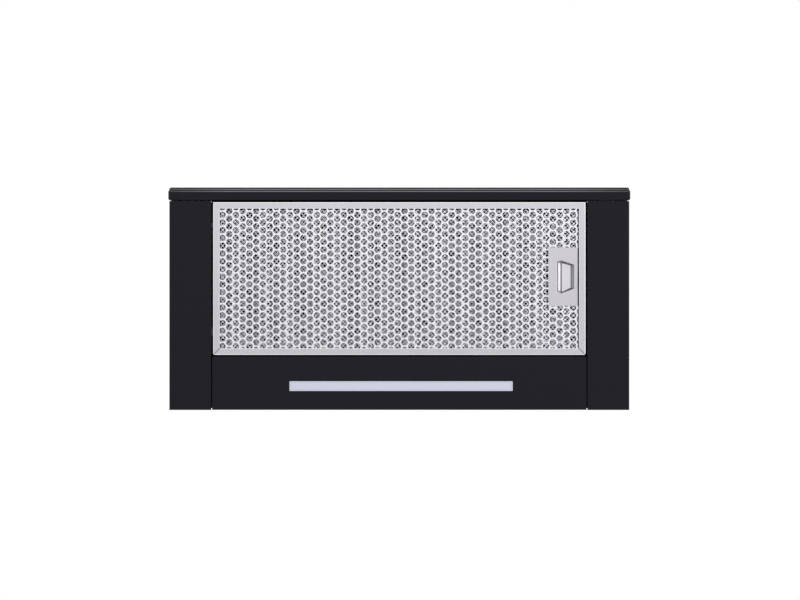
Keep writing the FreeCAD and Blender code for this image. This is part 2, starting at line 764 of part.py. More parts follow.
def motor_bearings():
    """Two bush bearings in the motor's ends."""
    half = MOTOR_LENGTH / 2
    bushes = []
    for x in (-half, half - BEARING_LENGTH):
        start = Vector(x, AXIS_Y, AXIS_Z)
        bore = SHAFT_RADIUS + SHAFT_PLAY
        bushes.append(tube("x", start, BEARING_RADIUS - SHAFT_PLAY, bore, BEARING_LENGTH))
    return Part.makeCompound(bushes)


def motor_shaft():
    """Shaft with the rotor core on it."""
    reach = IMPELLER_START + HUB_LENGTH
    shape = rod("x", Vector(-reach, AXIS_Y, AXIS_Z), SHAFT_RADIUS, 2 * reach)
    core = rod("x", Vector(-STATOR_LENGTH / 2, AXIS_Y, AXIS_Z), ROTOR_RADIUS, STATOR_LENGTH)
    return shape.fuse(core).removeSplitter()


def motor_saddle():
    """Cradle between the motor and the bottom of the casing."""
    start = Vector(-SADDLE_HALF_LENGTH, AXIS_Y, AXIS_Z)
    length = 2 * SADDLE_HALF_LENGTH
    ring = tube("x", start, SCROLL_RADIUS - SEAT, MOTOR_RADIUS + SEAT, length)
    keep = block(
        across(SADDLE_HALF_LENGTH),
        around(AXIS_Y, SADDLE_HALF_WIDTH),
        (0, AXIS_Z - SADDLE_HALF_WIDTH),
    )
    return ring.common(keep)


def motor_strap():
    """Band over the motor, down to the saddle's edges."""
    start = Vector(-STRAP_WIDTH / 2, AXIS_Y, AXIS_Z)
    inner = MOTOR_RADIUS + SEAT / 2
    band = tube("x", start, inner + STRAP_SHEET, inner, STRAP_WIDTH)
    keep = block(
        across(STRAP_WIDTH),
        around(AXIS_Y, 2 * MOTOR_RADIUS),
        (AXIS_Z - SADDLE_HALF_WIDTH + SEAT, BOX_HEIGHT),
    )
    return band.common(keep)


def capacitor():
    """Motor capacitor hung under the roof."""
    start = Vector(CAPACITOR_X, CAPACITOR_Y, ROOF - CAPACITOR_LENGTH)
    return rod("z", start, CAPACITOR_RADIUS, CAPACITOR_LENGTH)


def terminal_box():
    """Box for the supply joints, under the roof."""
    x = around(TERMINAL_X, TERMINAL_LENGTH / 2)
    y = around(TERMINAL_Y, TERMINAL_WIDTH / 2)
    shape = block(x, y, (ROOF - TERMINAL_HEIGHT, ROOF))
    hollow = block(
        around(TERMINAL_X, TERMINAL_LENGTH / 2 - TERMINAL_WALL),
        around(TERMINAL_Y, TERMINAL_WIDTH / 2 - TERMINAL_WALL),
        (ROOF - TERMINAL_HEIGHT + TERMINAL_WALL, ROOF),
    )
    return shape.cut(hollow)


def cable_gland():
    """Strain relief nut and dome on the roof, with its bore."""
    seat = Vector(TERMINAL_X, TERMINAL_Y, BOX_HEIGHT)
    corners = []
    for i in range(GLAND_NUT_SIDES):
        angle = math.tau * i / GLAND_NUT_SIDES
        corners.append((seat.x + GLAND_NUT * math.cos(angle), seat.y + GLAND_NUT * math.sin(angle)))
    nut = prism(corners, "z", seat.z, seat.z + GLAND_NUT_HEIGHT)
    neck = rod("z", Vector(seat.x, seat.y, ROOF), GLAND_RADIUS, SHEET + GLAND_NUT_HEIGHT)
    dome_seat = Vector(seat.x, seat.y, seat.z + GLAND_NUT_HEIGHT)
    dome_height = GLAND_HEIGHT - GLAND_NUT_HEIGHT
    dome = Part.makeCone(GLAND_RADIUS + SHEET, GLAND_RADIUS - SHEET, dome_height, dome_seat)
    bore = rod("z", Vector(seat.x, seat.y, ROOF), GLAND_BORE, SHEET + GLAND_HEIGHT)
    return nut.fuse([neck, dome]).cut(bore).removeSplitter()


# ---------------------------------------------------------------- light panel


def light_panel():
    """Tray behind the filter that closes the underside and holds the lamp."""
    roof = -SHEET - SEAT
    path = [
        (PANEL_FRONT, LEDGE_BOTTOM - SEAT),
        (PANEL_FRONT, UNDER),
        (0, UNDER),
        (0, roof),
        (-PANEL_FLANGE, roof),
    ]
    shape = folded(path, SHEET, BEND, "x", -PANEL_SIDE, PANEL_SIDE)
    slot = block(
        around(LAMP_SHIFT, LAMP_LENGTH / 2),
        around(LAMP_Y, LAMP_WIDTH / 2),
        (UNDER - SHEET, PANEL_TOP + SHEET),
    )
    return shape.cut(slot)


def lamp_lens():
    """Opal strip in the slot, with the flange that rests on the panel."""
    nose = block(
        around(LAMP_SHIFT, LAMP_LENGTH / 2 - LENS_GAP),
        around(LAMP_Y, LAMP_WIDTH / 2 - LENS_GAP),
        (UNDER, PANEL_TOP + LENS_SHEET / 2),
    )
    flange = block(
        around(LAMP_SHIFT, LAMP_LENGTH / 2 + LENS_FLANGE),
        around(LAMP_Y, LAMP_WIDTH / 2 + LENS_FLANGE),
        (PANEL_TOP, PANEL_TOP + LENS_SHEET),
    )
    return nose.fuse(flange).removeSplitter()


def lamp_holder():
    """Hat channel over the lens that carries the light board."""
    half = HOLDER_HALF
    wide = half + HOLDER_FLANGE
    top = PANEL_TOP + HOLDER_HEIGHT
    path = [
        (LAMP_Y - wide, PANEL_TOP),
        (LAMP_Y - half, PANEL_TOP),
        (LAMP_Y - half, top),
        (LAMP_Y + half, top),
        (LAMP_Y + half, PANEL_TOP),
        (LAMP_Y + wide, PANEL_TOP),
    ]
    reach = LAMP_LENGTH / 2 + 2 * LENS_FLANGE
    return folded(path, SHEET, BEND, "x", LAMP_SHIFT - reach, LAMP_SHIFT + reach)


def lamp_board():
    """Light board under the holder's top."""
    top = PANEL_TOP + HOLDER_HEIGHT
    return block(
        around(LAMP_SHIFT, LAMP_LENGTH / 2 - LENS_FLANGE),
        around(LAMP_Y, BOARD_WIDTH / 2),
        (top - BOARD_SHEET, top),
    )


def lamp_leds():
    """Row of light-emitting packages on the board's underside."""
    top = PANEL_TOP + HOLDER_HEIGHT - BOARD_SHEET
    pitch = (LAMP_LENGTH - 2 * LENS_FLANGE) / LED_COUNT
    packages = []
    for i in range(LED_COUNT):
        x = LAMP_SHIFT + pitch * (i - (LED_COUNT - 1) / 2)
        half = LED_SIZE / 2
        packages.append(block(around(x, half), around(LAMP_Y, half), (top - LED_HEIGHT, top)))
    return Part.makeCompound(packages)


def lamp_driver():
    """Supply for the lamp, beside the holder on the panel."""
    start = LAMP_SHIFT + LAMP_LENGTH / 2 + 2 * LENS_FLANGE + DRIVER_GAP
    body = block(
        (start, start + DRIVER_LENGTH),
        around(LAMP_Y, DRIVER_WIDTH / 2),
        (PANEL_TOP, PANEL_TOP + DRIVER_HEIGHT),
    )
    return body.makeFillet(BEND, upright_edges(body))


# ---------------------------------------------------------------- filters


def filter_bar(edge, inward, bottom, axis, reach):
    """Channel that opens towards the inside of a filter."""
    top = bottom + FILTER_HEIGHT
    lip = edge + inward * RIM
    path = [(lip, top), (edge, top), (edge, bottom), (lip, bottom)]
    if inward < 0:
        path.reverse()
    return folded(path, FILTER_SHEET, FILTER_BEND, axis, reach[0], reach[1])


def filter_bars(front, rear, bottom):
    """Four mitred channels round a filter: front, rear, left and right."""
    side = FILTER_SIDE
    inner = side - RIM
    z = (bottom - SHEET, bottom + FILTER_HEIGHT + SHEET)
    plans = {
        "front": [(-side, front), (side, front), (inner, front + RIM), (-inner, front + RIM)],
        "rear": [(-side, rear), (side, rear), (inner, rear - RIM), (-inner, rear - RIM)],
        "left": [(-side, front), (-side, rear), (-inner, rear - RIM), (-inner, front + RIM)],
        "right": [(side, front), (side, rear), (inner, rear - RIM), (inner, front + RIM)],
    }
    bars = {
        "front": filter_bar(front, 1, bottom, "x", across(side)),
        "rear": filter_bar(rear, -1, bottom, "x", across(side)),
        "left": filter_bar(-side, 1, bottom, "y", (front, rear)),
        "right": filter_bar(side, -1, bottom, "y", (front, rear)),
    }
    return {name: bar.common(prism(plans[name], "z", z[0], z[1])) for name, bar in bars.items()}


def mesh_sheets(front, rear, bottom, top):
    """Crimped mesh layers between two levels, each one closed zigzag sheet."""
    reach = FILTER_SIDE - FILTER_SHEET - FACE_PLAY
    pitch = (top - bottom - MESH_GAP) / MESH_LAYERS
    height = pitch - MESH_GAP - MESH_SHEET
    steps = round(4 * reach / MESH_WAVE)
    sheets = []
    for layer in range(MESH_LAYERS):
        low = bottom + MESH_GAP + pitch * layer
        line = []
        for i in range(steps + 1):
            line.append((-reach + 2 * reach / steps * i, low + height * ((i + layer) % 2)))
        above = [(x, z + MESH_SHEET) for x, z in line]
        ends = (front + FILTER_SHEET + FACE_PLAY, rear - FILTER_SHEET - FACE_PLAY)
        sheets.append(prism(line + above[::-1], "y", ends[0], ends[1]))
    return sheets


def tab_places():
    """Places along Y of the tabs on the tray filter's left edge, with their widths."""
    return [(FILTER_MIDDLE + TAB_OFFSET, TAB_WIDTH), (FILTER_MIDDLE - TAB_OFFSET, TAB_WIDTH / 2)]


def filter_frame():
    """Rim of the tray filter, with its hook tabs on the left and the bolt's slot on the right."""
    bars = filter_bars(FILTER_FRONT, FILTER_REAR, UNDER)
    root = -FILTER_SIDE + FILTER_SHEET
    for y, width in tab_places():
        tab = block((-TAB_TIP, root), around(y, width / 2), (TAB_BOTTOM, TAB_BOTTOM + TAB_SHEET))
        bars["left"] = bars["left"].fuse(tab)
    slot = block(
        (FILTER_SIDE - FILTER_SHEET - BEND, FILTER_SIDE + SHEET),
        around(LATCH_Y, BOLT_WIDTH / 2 + SLOT_PLAY),
        (BOLT_BOTTOM - LATCH_PLAY, BOLT_TOP + LATCH_PLAY),
    )
    bars["right"] = bars["right"].cut(slot)
    return Part.makeCompound([bar.removeSplitter() for bar in bars.values()])


def in_pocket(x, y):
    """Whether a hole would reach the pocket round the latch."""
    margin = HOLE / 2 + SHEET
    return POCKET_LEFT - margin < x and abs(y - LATCH_Y) < POCKET_HALF + margin


def face_holes():
    """Centres of the face's holes: columns of even pitch, every other one half a row further on."""
    side = FILTER_SIDE - FILTER_SHEET - FACE_PLAY - HOLE / 2 - SHEET
    low = FILTER_FRONT + FILTER_SHEET + FACE_PLAY + HOLE / 2 + SHEET
    high = FILTER_REAR - FILTER_SHEET - FACE_PLAY - HOLE / 2 - SHEET
    centres = []
    x = -FILTER_SIDE + RIM + FIRST_COLUMN
    row = FILTER_REAR - RIM - FIRST_ROW
    odd = False
    while x < side:
        y = row + (HOLE_ROW_PITCH / 2 if odd else 0)
        while y > low:
            if y < high and not in_pocket(x, y):
                centres.append((x, y))
            y -= HOLE_ROW_PITCH
        x += HOLE_COLUMN_PITCH
        odd = not odd
    return centres


def filter_face():
    """Perforated sheet inside the rim, cut away round the latch."""
    side = FILTER_SIDE - FILTER_SHEET - FACE_PLAY
    front = FILTER_FRONT + FILTER_SHEET + FACE_PLAY
    rear = FILTER_REAR - FILTER_SHEET - FACE_PLAY
    wires = [
        oblong((-side, side), (front, rear), FACE_BOTTOM),
        oblong((POCKET_LEFT, POCKET_RIGHT), around(LATCH_Y, POCKET_HALF), FACE_BOTTOM),
    ]
    for x, y in face_holes():
        wires.append(Part.Wire(Part.makeCircle(HOLE / 2, Vector(x, y, FACE_BOTTOM))))
    face = Part.makeFace(wires, "Part::FaceMakerBullseye")
    return face.extrude(Z_AXIS * FACE_SHEET)


def filter_mesh():
    """Mesh layers of the tray filter, cut away round the latch."""
    sheets = mesh_sheets(FILTER_FRONT, FILTER_REAR, FACE_TOP, FILTER_TOP - FILTER_SHEET)
    room = block((POCKET_LEFT, TRAY_SIDE), around(LATCH_Y, POCKET_HALF), (UNDER, FILTER_TOP))
    return Part.makeCompound([sheet.cut(room) for sheet in sheets])


def cup_wire(z, inset, grow):
    """Six-sided outline of the finger cup; inset pulls its sides in for the floor."""
    left = CUP_LEFT - inset
    right = CUP_RIGHT - inset
    peak = min(CUP_PEAK, left * CUP_PEAK / CUP_LEFT)
    ends = 1 - inset / (2 * CUP_PEAK_HALF)
    flat = [
        (-left, -CUP_LEFT_HALF * ends),
        (-peak, -CUP_PEAK_HALF * ends),
        (right, -CUP_RIGHT_HALF * ends),
        (right, CUP_RIGHT_HALF * ends),
        (-peak, CUP_PEAK_HALF * ends),
        (-left, CUP_LEFT_HALF * ends),
    ]
    corners = [Vector(CUP_X + x, LATCH_Y + y, z) for x, y in flat]
    wire = Part.makePolygon(corners + corners[:1])
    if grow > 0:
        wire = wire.makeOffset2D(grow, 2)
    return wire


def latch_plate():
    """Cover plate of the latch, flush with the rim, with the cup's window."""
    plate = block((LATCH_LEFT, LATCH_RIGHT), around(LATCH_Y, LATCH_LENGTH / 2), (UNDER, FACE_BOTTOM))
    window = Part.Face(cup_wire(UNDER - SHEET, 0, 0)).extrude(Z_AXIS * (FILTER_SHEET + 2 * SHEET))
    return plate.cut(window)


def filter_latch():
    """Sliding latch: finger cup, flange and bolt in one piece."""
    top = FLANGE_BOTTOM + CUP_DEPTH
    rims = [cup_wire(FLANGE_BOTTOM, 0, CUP_WALL), cup_wire(top, CUP_SLOPE, CUP_WALL)]
    outside = Part.makeLoft(rims, True, True)
    hollows = [cup_wire(FLANGE_BOTTOM, 0, 0), cup_wire(top - CUP_WALL, CUP_SLOPE, 0)]
    inside = Part.makeLoft(hollows, True, True)
    flange_y = around(LATCH_Y, FLANGE_HALF)
    flange = block((FLANGE_LEFT, FLANGE_RIGHT), flange_y, (FLANGE_BOTTOM, FLANGE_TOP))
    bolt_y = around(LATCH_Y, BOLT_WIDTH / 2)
    bolt = block((CUP_X + CUP_RIGHT, BOLT_TIP), bolt_y, (BOLT_BOTTOM, BOLT_TOP))
    shape = outside.fuse([flange, bolt]).cut(inside)
    return shape.removeSplitter()


def fixed_filter_frame():
    """Rim of the filter that stays above the tray."""
    bars = filter_bars(FIXED_FRONT, FIXED_REAR, LEDGE_TOP)
    return Part.makeCompound([bar.removeSplitter() for bar in bars.values()])


def fixed_filter_mesh():
    """Mesh layers of the fixed filter."""
    low = LEDGE_TOP + FILTER_SHEET
    high = LEDGE_TOP + FILTER_HEIGHT - FILTER_SHEET
    return Part.makeCompound(mesh_sheets(FIXED_FRONT, FIXED_REAR, low, high))


# ---------------------------------------------------------------- tray and fascia


def tray_frame():
    """Folded visor and side walls, with the front plate and the bars that the filter sits under."""
    path = [
        (TRAY_SIDE, TRAY_BOTTOM),
        (TRAY_SIDE, TRAY_TOP),
        (-TRAY_SIDE, TRAY_TOP),
        (-TRAY_SIDE, TRAY_BOTTOM),
    ]
    shape = folded(path, TRAY_SHEET, TRAY_BEND, "y", FASCIA_REAR, TRAY_REAR)
    gap = block(
        across(TRAY_SIDE - TRAY_BEND),
        (VISOR_REAR, TRAY_REAR + SHEET),
        (TRAY_TOP - SHEET, TRAY_TOP + SHEET),
    )
    shape = shape.cut(gap)
    inside = across(TRAY_SIDE - TRAY_SHEET / 2)
    low = FILTER_TOP + FILTER_TOP_GAP
    flange = (low, low + TRAY_SHEET)
    height = (TRAY_BOTTOM, TRAY_TOP - TRAY_SHEET / 2)
    front = block(inside, (FASCIA_REAR, FASCIA_REAR + TRAY_SHEET), height)
    front_bar = block(inside, (FASCIA_REAR, FILTER_FRONT + RIM), flange)
    rear_flange = block(inside, (FILTER_REAR - RIM, TRAY_REAR), flange)
    rear_web = block(inside, (TRAY_REAR - TRAY_SHEET, TRAY_REAR), (low, low + RIM))
    shape = shape.fuse([front, front_bar, rear_flange, rear_web])
    for y, width in tab_places():
        slot = block(
            (-TRAY_SIDE - SHEET, -TRAY_SIDE + TRAY_SHEET + SLOT_PLAY),
            around(y, width / 2 + SLOT_PLAY),
            (SWING_Z, SWING_Z + TAB_REACH + SLOT_PLAY),
        )
        shape = shape.cut(slot)
    slot = block(
        (TRAY_SIDE - SHEET, TRAY_SIDE + SHEET),
        around(LATCH_Y, BOLT_WIDTH / 2 + SLOT_PLAY),
        (BOLT_BOTTOM - LATCH_PLAY, BOLT_TOP + SLOT_PLAY),
    )
    shape = shape.cut(slot)
    for seat in tray_screw_seats():
        shape = shape.cut(screw_hole(seat, (0, 1, 0), SCREW_PLAY))
    return shape.removeSplitter()


def tray_screw_seats():
    """Places of the screws that hold the fascia to the tray's front plate."""
    y = FASCIA_REAR + TRAY_SHEET
    z = (TRAY_TOP + FILTER_TOP) / 2
    return [Vector(side * x, y, z) for side in (-1, 1) for x in (TRAY_SCREW_INNER, TRAY_SCREW_OUTER)]


def tray_screws():
    """Screws of the fascia."""
    return Part.makeCompound([screw(seat, (0, 1, 0)) for seat in tray_screw_seats()])


def button_hole(x, play):
    """Cutter for a button's way through the glass and the carrier's front wall."""
    start = Vector(x, FASCIA_FRONT - SHEET, FASCIA_MIDDLE)
    return rod("y", start, BUTTON_RADIUS + play, GLASS + CARRIER_WALL + SHEET + play)


def fascia_carrier():
    """Hollow bar behind the glass."""
    z = (FASCIA_BOTTOM, FASCIA_TOP)
    shape = block(across(CARRIER_SIDE), (CARRIER_FRONT, FASCIA_REAR), z)
    hollow = block(
        across(CARRIER_SIDE + SHEET),
        (CAVITY_FRONT, CAVITY_REAR),
        (z[0] + CARRIER_WALL, z[1] - CARRIER_WALL),
    )
    shape = shape.cut(hollow)
    for x in BUTTON_XS:
        shape = shape.cut(button_hole(x, BUTTON_PLAY))
    for seat in tray_screw_seats():
        shape = shape.cut(screw_hole(seat, (0, 1, 0), SCREW_PLAY))
    return shape


def fascia_glass():
    """Glass front with rounded ends and the buttons' holes."""
    side = FASCIA_SIDE - GLASS_INSET
    plate = block(across(side), (FASCIA_FRONT, CARRIER_FRONT), (FASCIA_BOTTOM, FASCIA_TOP))
    middle = CARRIER_FRONT - GLASS / 2
    corners = [edge for edge in upright_edges(plate) if edge.CenterOfMass.y < middle]
    plate = plate.makeFillet(GLASS * CORNER_SHARE, corners)
    for x in BUTTON_XS:
        plate = plate.cut(button_hole(x, BUTTON_PLAY))
    return plate


def end_cap():
    """Right-hand end of the carrier: rounded plate and the plug inside the bar."""
    z = (FASCIA_BOTTOM, FASCIA_TOP)
    plate = block((CARRIER_SIDE, FASCIA_SIDE), (CARRIER_FRONT, FASCIA_REAR), z)
    middle = FASCIA_SIDE - CAP / 2
    corners = [edge for edge in upright_edges(plate) if edge.CenterOfMass.x > middle]
    plate = plate.makeFillet(CAP * CORNER_SHARE, corners)
    plug = block(
        (CARRIER_SIDE - CAP_PLUG, CARRIER_SIDE + CAP / 2),
        (CAVITY_FRONT + SEAT, CAVITY_REAR - SEAT),
        (z[0] + CARRIER_WALL + SEAT, z[1] - CARRIER_WALL - SEAT),
    )
    return plate.fuse(plug).removeSplitter()


def button():
    """Push button at mid width: cap flush with the glass, retaining flange and stem."""
    start = Vector(0, FASCIA_FRONT, FASCIA_MIDDLE)
    cap = rod("y", start, BUTTON_RADIUS, BUTTON_FLANGE_FRONT - FASCIA_FRONT)
    flange_start = Vector(0, BUTTON_FLANGE_FRONT, FASCIA_MIDDLE)
    thickness = BUTTON_FLANGE_REAR - BUTTON_FLANGE_FRONT
    flange = rod("y", flange_start, BUTTON_RADIUS + BUTTON_FLANGE, thickness)
    stem_end = CAVITY_REAR - BUTTON_TRAVEL - SEAT
    stem = rod("y", flange_start, BUTTON_STEM, stem_end - BUTTON_FLANGE_FRONT)
    return cap.fuse([flange, stem]).removeSplitter()


def switch_block():
    """Switch block behind the buttons, with a guide hole for each stem."""
    reach = BUTTON_XS[-1] + SWITCH_MARGIN
    shape = block(across(reach), (SWITCH_FRONT, CAVITY_REAR), around(FASCIA_MIDDLE, SWITCH_HEIGHT / 2))
    for x in BUTTON_XS:
        guide = Vector(x, SWITCH_FRONT, FASCIA_MIDDLE)
        shape = shape.cut(rod("y", guide, BUTTON_STEM + SEAT, SWITCH_DEPTH))
    return shape


# ---------------------------------------------------------------- rails


def rail(near, far, low, high, opening):
    """Right-hand rail channel between two X limits; it opens towards -X (-1) or +X (+1)."""
    path = [(near, high), (far, high), (far, low), (near, low)]
    if opening < 0:
        path.reverse()
    return folded(path, RAIL_SHEET, RAIL_SHEET, "y", RAIL_FRONT, RAIL_REAR)


def rail_outer():
    """Channel fixed to the web."""
    return rail(TRAY_SIDE + 2 * RAIL_SHEET + RAIL_GAP, WEB, RAIL_BOTTOM, RAIL_TOP, -1)


def rail_middle():
    """Channel that runs in the outer one."""
    step = RAIL_SHEET + RAIL_GAP
    near = TRAY_SIDE + 2 * RAIL_SHEET - RAIL_GAP
    return rail(near, WEB - step, RAIL_BOTTOM + step, RAIL_TOP - step, -1)


def rail_inner():
    """Channel fixed to the tray that runs in the middle one."""
    step = 2 * (RAIL_SHEET + RAIL_GAP)
    return rail(WEB - step - RAIL_GAP, TRAY_SIDE, RAIL_BOTTOM + step, RAIL_TOP - step, 1)


# ---------------------------------------------------------------- all nodes


def build():
    """Every node of the hood by name."""
    nodes = {
        "plenum_frame": plenum_frame(),
        "front_crossbar": front_crossbar(),
        "rear_crossbar": rear_crossbar(),
        "upper_box": upper_box(),
        "rear_panel": rear_panel(),
        "top_panel": top_panel(),
        "housing_screws": housing_screws(),
        "outlet_collar": outlet_collar(),
        "flap_front": flap(-1),
        "flap_rear": flap(1),
        "blower_shell_lower": blower_shell(False),
        "blower_shell_upper": blower_shell(True),
        "motor_housing": motor_housing(),
        "motor_stator": motor_stator(),
        "motor_bearings": motor_bearings(),
        "motor_shaft": motor_shaft(),
        "motor_saddle": motor_saddle(),
        "motor_strap": motor_strap(),
        "capacitor": capacitor(),
        "terminal_box": terminal_box(),
        "cable_gland": cable_gland(),
        "light_panel": light_panel(),
        "lamp_lens": lamp_lens(),
        "lamp_holder": lamp_holder(),
        "lamp_board": lamp_board(),
        "lamp_leds": lamp_leds(),
        "lamp_driver": lamp_driver(),
        "fixed_filter_frame": fixed_filter_frame(),
        "fixed_filter_mesh": fixed_filter_mesh(),
        "tray_frame": tray_frame(),
        "tray_screws": tray_screws(),
        "fascia_carrier": fascia_carrier(),
        "fascia_glass": fascia_glass(),
        "switch_block": switch_block(),
        "filter_frame": filter_frame(),
        "filter_face": filter_face(),
        "filter_mesh": filter_mesh(),
        "latch_plate": latch_plate(),
        "filter_latch": filter_latch(),
    }
    pairs = {
        "side_channel": side_channel(),
        "cabinet_bracket": cabinet_bracket(),
        "impeller": impeller(),
        "rail_outer": rail_outer(),
        "rail_middle": rail_middle(),
        "rail_inner": rail_inner(),
        "end_cap": end_cap(),
    }
    for name, shape in pairs.items():
        nodes[name + "_right"] = shape
        nodes[name + "_left"] = other_side(shape)
    names = ["button_lamp", "button_off", "button_low", "button_medium", "button_high"]
    for name, x in zip(names, BUTTON_XS):
        nodes[name] = button().translated(Vector(x, 0, 0))
    return nodes


os.makedirs("parts", exist_ok=True)
for node, model in build().items():
    model.exportStep("parts/" + node + ".step")
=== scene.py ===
"""Pull-out range hood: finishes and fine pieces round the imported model, seen from below."""
import math

import bpy
import numpy as np
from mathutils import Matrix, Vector


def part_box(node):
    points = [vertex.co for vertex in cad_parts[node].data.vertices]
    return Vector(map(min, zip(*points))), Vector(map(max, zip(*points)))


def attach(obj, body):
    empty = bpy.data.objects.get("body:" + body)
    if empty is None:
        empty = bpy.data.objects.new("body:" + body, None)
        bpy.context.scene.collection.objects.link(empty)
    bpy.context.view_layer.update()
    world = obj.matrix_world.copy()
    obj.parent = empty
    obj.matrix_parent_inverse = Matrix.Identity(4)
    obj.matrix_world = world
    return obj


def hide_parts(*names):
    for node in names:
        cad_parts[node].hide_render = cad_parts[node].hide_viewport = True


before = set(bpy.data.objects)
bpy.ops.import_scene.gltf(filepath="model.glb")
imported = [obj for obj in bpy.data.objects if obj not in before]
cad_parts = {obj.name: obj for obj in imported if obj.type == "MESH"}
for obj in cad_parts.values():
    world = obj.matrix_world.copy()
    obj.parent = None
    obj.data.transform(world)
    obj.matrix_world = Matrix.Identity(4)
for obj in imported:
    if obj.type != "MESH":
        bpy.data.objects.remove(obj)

bl_info = {
    "name": "Pull-out range hood",
    "version": (1, 0, 0),
    "blender": (4, 5, 0),
    "location": "3D View > Sidebar > Hood",
    "description": "Builds the looks of a pull-out range hood round its packed model",
    "category": "Add Mesh",
}

MM = 0.001
FULL_TURN = 2 * math.pi

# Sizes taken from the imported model, in millimetres


def span(node):
    """Lowest and highest corner of a node, in millimetres."""
    low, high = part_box(node)
    return np.array(low) / MM, np.array(high) / MM


FACE_LOW, FACE_HIGH = span("filter_face")
PLATE_LOW, PLATE_HIGH = span("latch_plate")
RIM_LOW, RIM_HIGH = span("filter_frame")
LATCH_LOW, LATCH_HIGH = span("filter_latch")
LENS_LOW, LENS_HIGH = span("lamp_lens")
GLASS_LOW, GLASS_HIGH = span("fascia_glass")
UNDER = span("light_panel")[0][2]
ROOF = span("top_panel")[1][2]

LATCH_X, LATCH_Y = (PLATE_LOW[:2] + PLATE_HIGH[:2]) / 2
POCKET_LEFT = 197.75
POCKET_HALF = 26.0

# ---- sizes and colours a user may change


def number(name, text, default, unit="NONE", precision=2):
    """Number property."""
    return bpy.props.FloatProperty(
        name=name, description=text, default=default, min=0.0, unit=unit, precision=precision
    )


def length(name, text, default):
    """Length property given in millimetres."""
    return number(name, text, default * MM, "LENGTH", 5)


def shade(name, text, default):
    """Colour property."""
    return bpy.props.FloatVectorProperty(
        name=name, description=text, default=default, size=3, min=0.0, max=1.0, subtype="COLOR"
    )


class HoodSizes(bpy.types.PropertyGroup):
    """Sizes of the fine pieces."""

    hole: length("Hole", "Diameter of the holes in the filter's face", 8.25)
    hole_roll: length("Hole edge", "Width of the rolled edge round each hole", 0.2)
    strand: length("Strand", "Width of the mesh strands inside the filter", 0.8)
    diamond: length("Diamond", "Short way of the mesh diamonds", 5.2)
    mitre: length("Mitre gap", "Gap between the rim's bars at their rear corners", 0.55)
    lens_corner: length("Lens corner", "Corner radius of the lamp's lens", 0.9)


class HoodColours(bpy.types.PropertyGroup):
    """Colours of the finishes."""

    paint: shade("Paint", "Black powder coat of the underside", (0.0070, 0.0062, 0.0125))
    # Black paint of the sheets behind the seams, made darker than the outer paint as painted shade so
    # that the seams read as shadow
    inner: shade("Inner paint", "Matt black of the sheets behind the seams", (0.003, 0.003, 0.0035))
    glass: shade("Glass", "Black glass of the fascia", (0.008, 0.008, 0.011))
    # Painted highlight: the colour of the lighter lines on the glass and the bar, which stand in for
    # light caught on their edges
    edge_highlight: shade("Ground edge", "Ground edge of the glass and bare edge of the bar", (0.23, 0.23, 0.25))
    face: shade("Perforated face", "Sheet of the filter's face", (0.955, 0.94, 0.99))
    rim: shade("Rim", "Bars round the filter", (0.62, 0.615, 0.655))
    # Painted highlight: brighter than the rim, for light caught on the lower bends of the filter's bars
    bend: shade("Bends", "Polished bends of the filter's bars", (0.93, 0.93, 0.96))
    plate: shade("Latch plate", "Cover plate of the latch", (0.64, 0.625, 0.655))
    mesh: shade("Mesh", "Expanded mesh inside the filters", (0.82, 0.81, 0.90))
    latch: shade("Latch", "Sliding latch with its cup", (0.77, 0.755, 0.80))
    lens: shade("Lens", "Opal lens of the lamp", (0.75, 0.78, 0.93))
    galvanised: shade("Galvanised sheet", "Sheets above the underside", (0.50, 0.52, 0.55))
    plastic: shade("Black plastic", "Collar, flaps, caps and other mouldings", (0.014, 0.014, 0.016))


class HoodStage(bpy.types.PropertyGroup):
    """Camera and light."""

    focal: number("Focal length", "Focal length of the camera", 85.0, "CAMERA")
    field: length("Field", "Width of the picture at the underside", 1039.4)
    fill: number("Fill", "Strength of the even light from all round", 0.85)
    key: number("Key", "Power of the soft light below the front", 4.5, "POWER")


def colours():
    """Colour settings of the open scene."""
    return bpy.context.scene.hood_colours


def sizes():
    """Size settings of the open scene, in millimetres."""
    held = bpy.context.scene.hood_sizes
    return {name: getattr(held, name) / MM for name in HoodSizes.__annotations__}


# ---- finishes


def feed(material, socket, value):
    """Sets an input socket to a value, or links an output socket to it."""
    if isinstance(value, bpy.types.NodeSocket):
        material.node_tree.links.new(value, socket)
    else:
        socket.default_value = value


def add_node(material, kind, **values):
    """Node of a kind with its input sockets fed by name."""
    node = material.node_tree.nodes.new("ShaderNode" + kind)
    for name, value in values.items():
        feed(material, node.inputs[name.replace("_", " ")], value)
    return node


def ranged(material, source, low, high, near, far):
    """Value of a socket carried from the range near to far to the range low to high."""
    node = add_node(material, "MapRange", Value=source, From_Min=near, From_Max=far, To_Min=low,
                    To_Max=high)
    return node.outputs["Result"]


def calculated(material, operation, first, second):
    """Sum, product or other result of two sockets or numbers."""
    node = add_node(material, "Math")
    node.operation = operation
    feed(material, node.inputs[0], first)
    feed(material, node.inputs[1], second)
    return node.outputs[0]


def colour_mix(material, share):
    """Mix of two colours by a share, as its two colour inputs and its output."""
    mix = add_node(material, "Mix", Factor=share)
    mix.data_type = "RGBA"
    return [socket for socket in [*mix.inputs, *mix.outputs] if socket.type == "RGBA"]


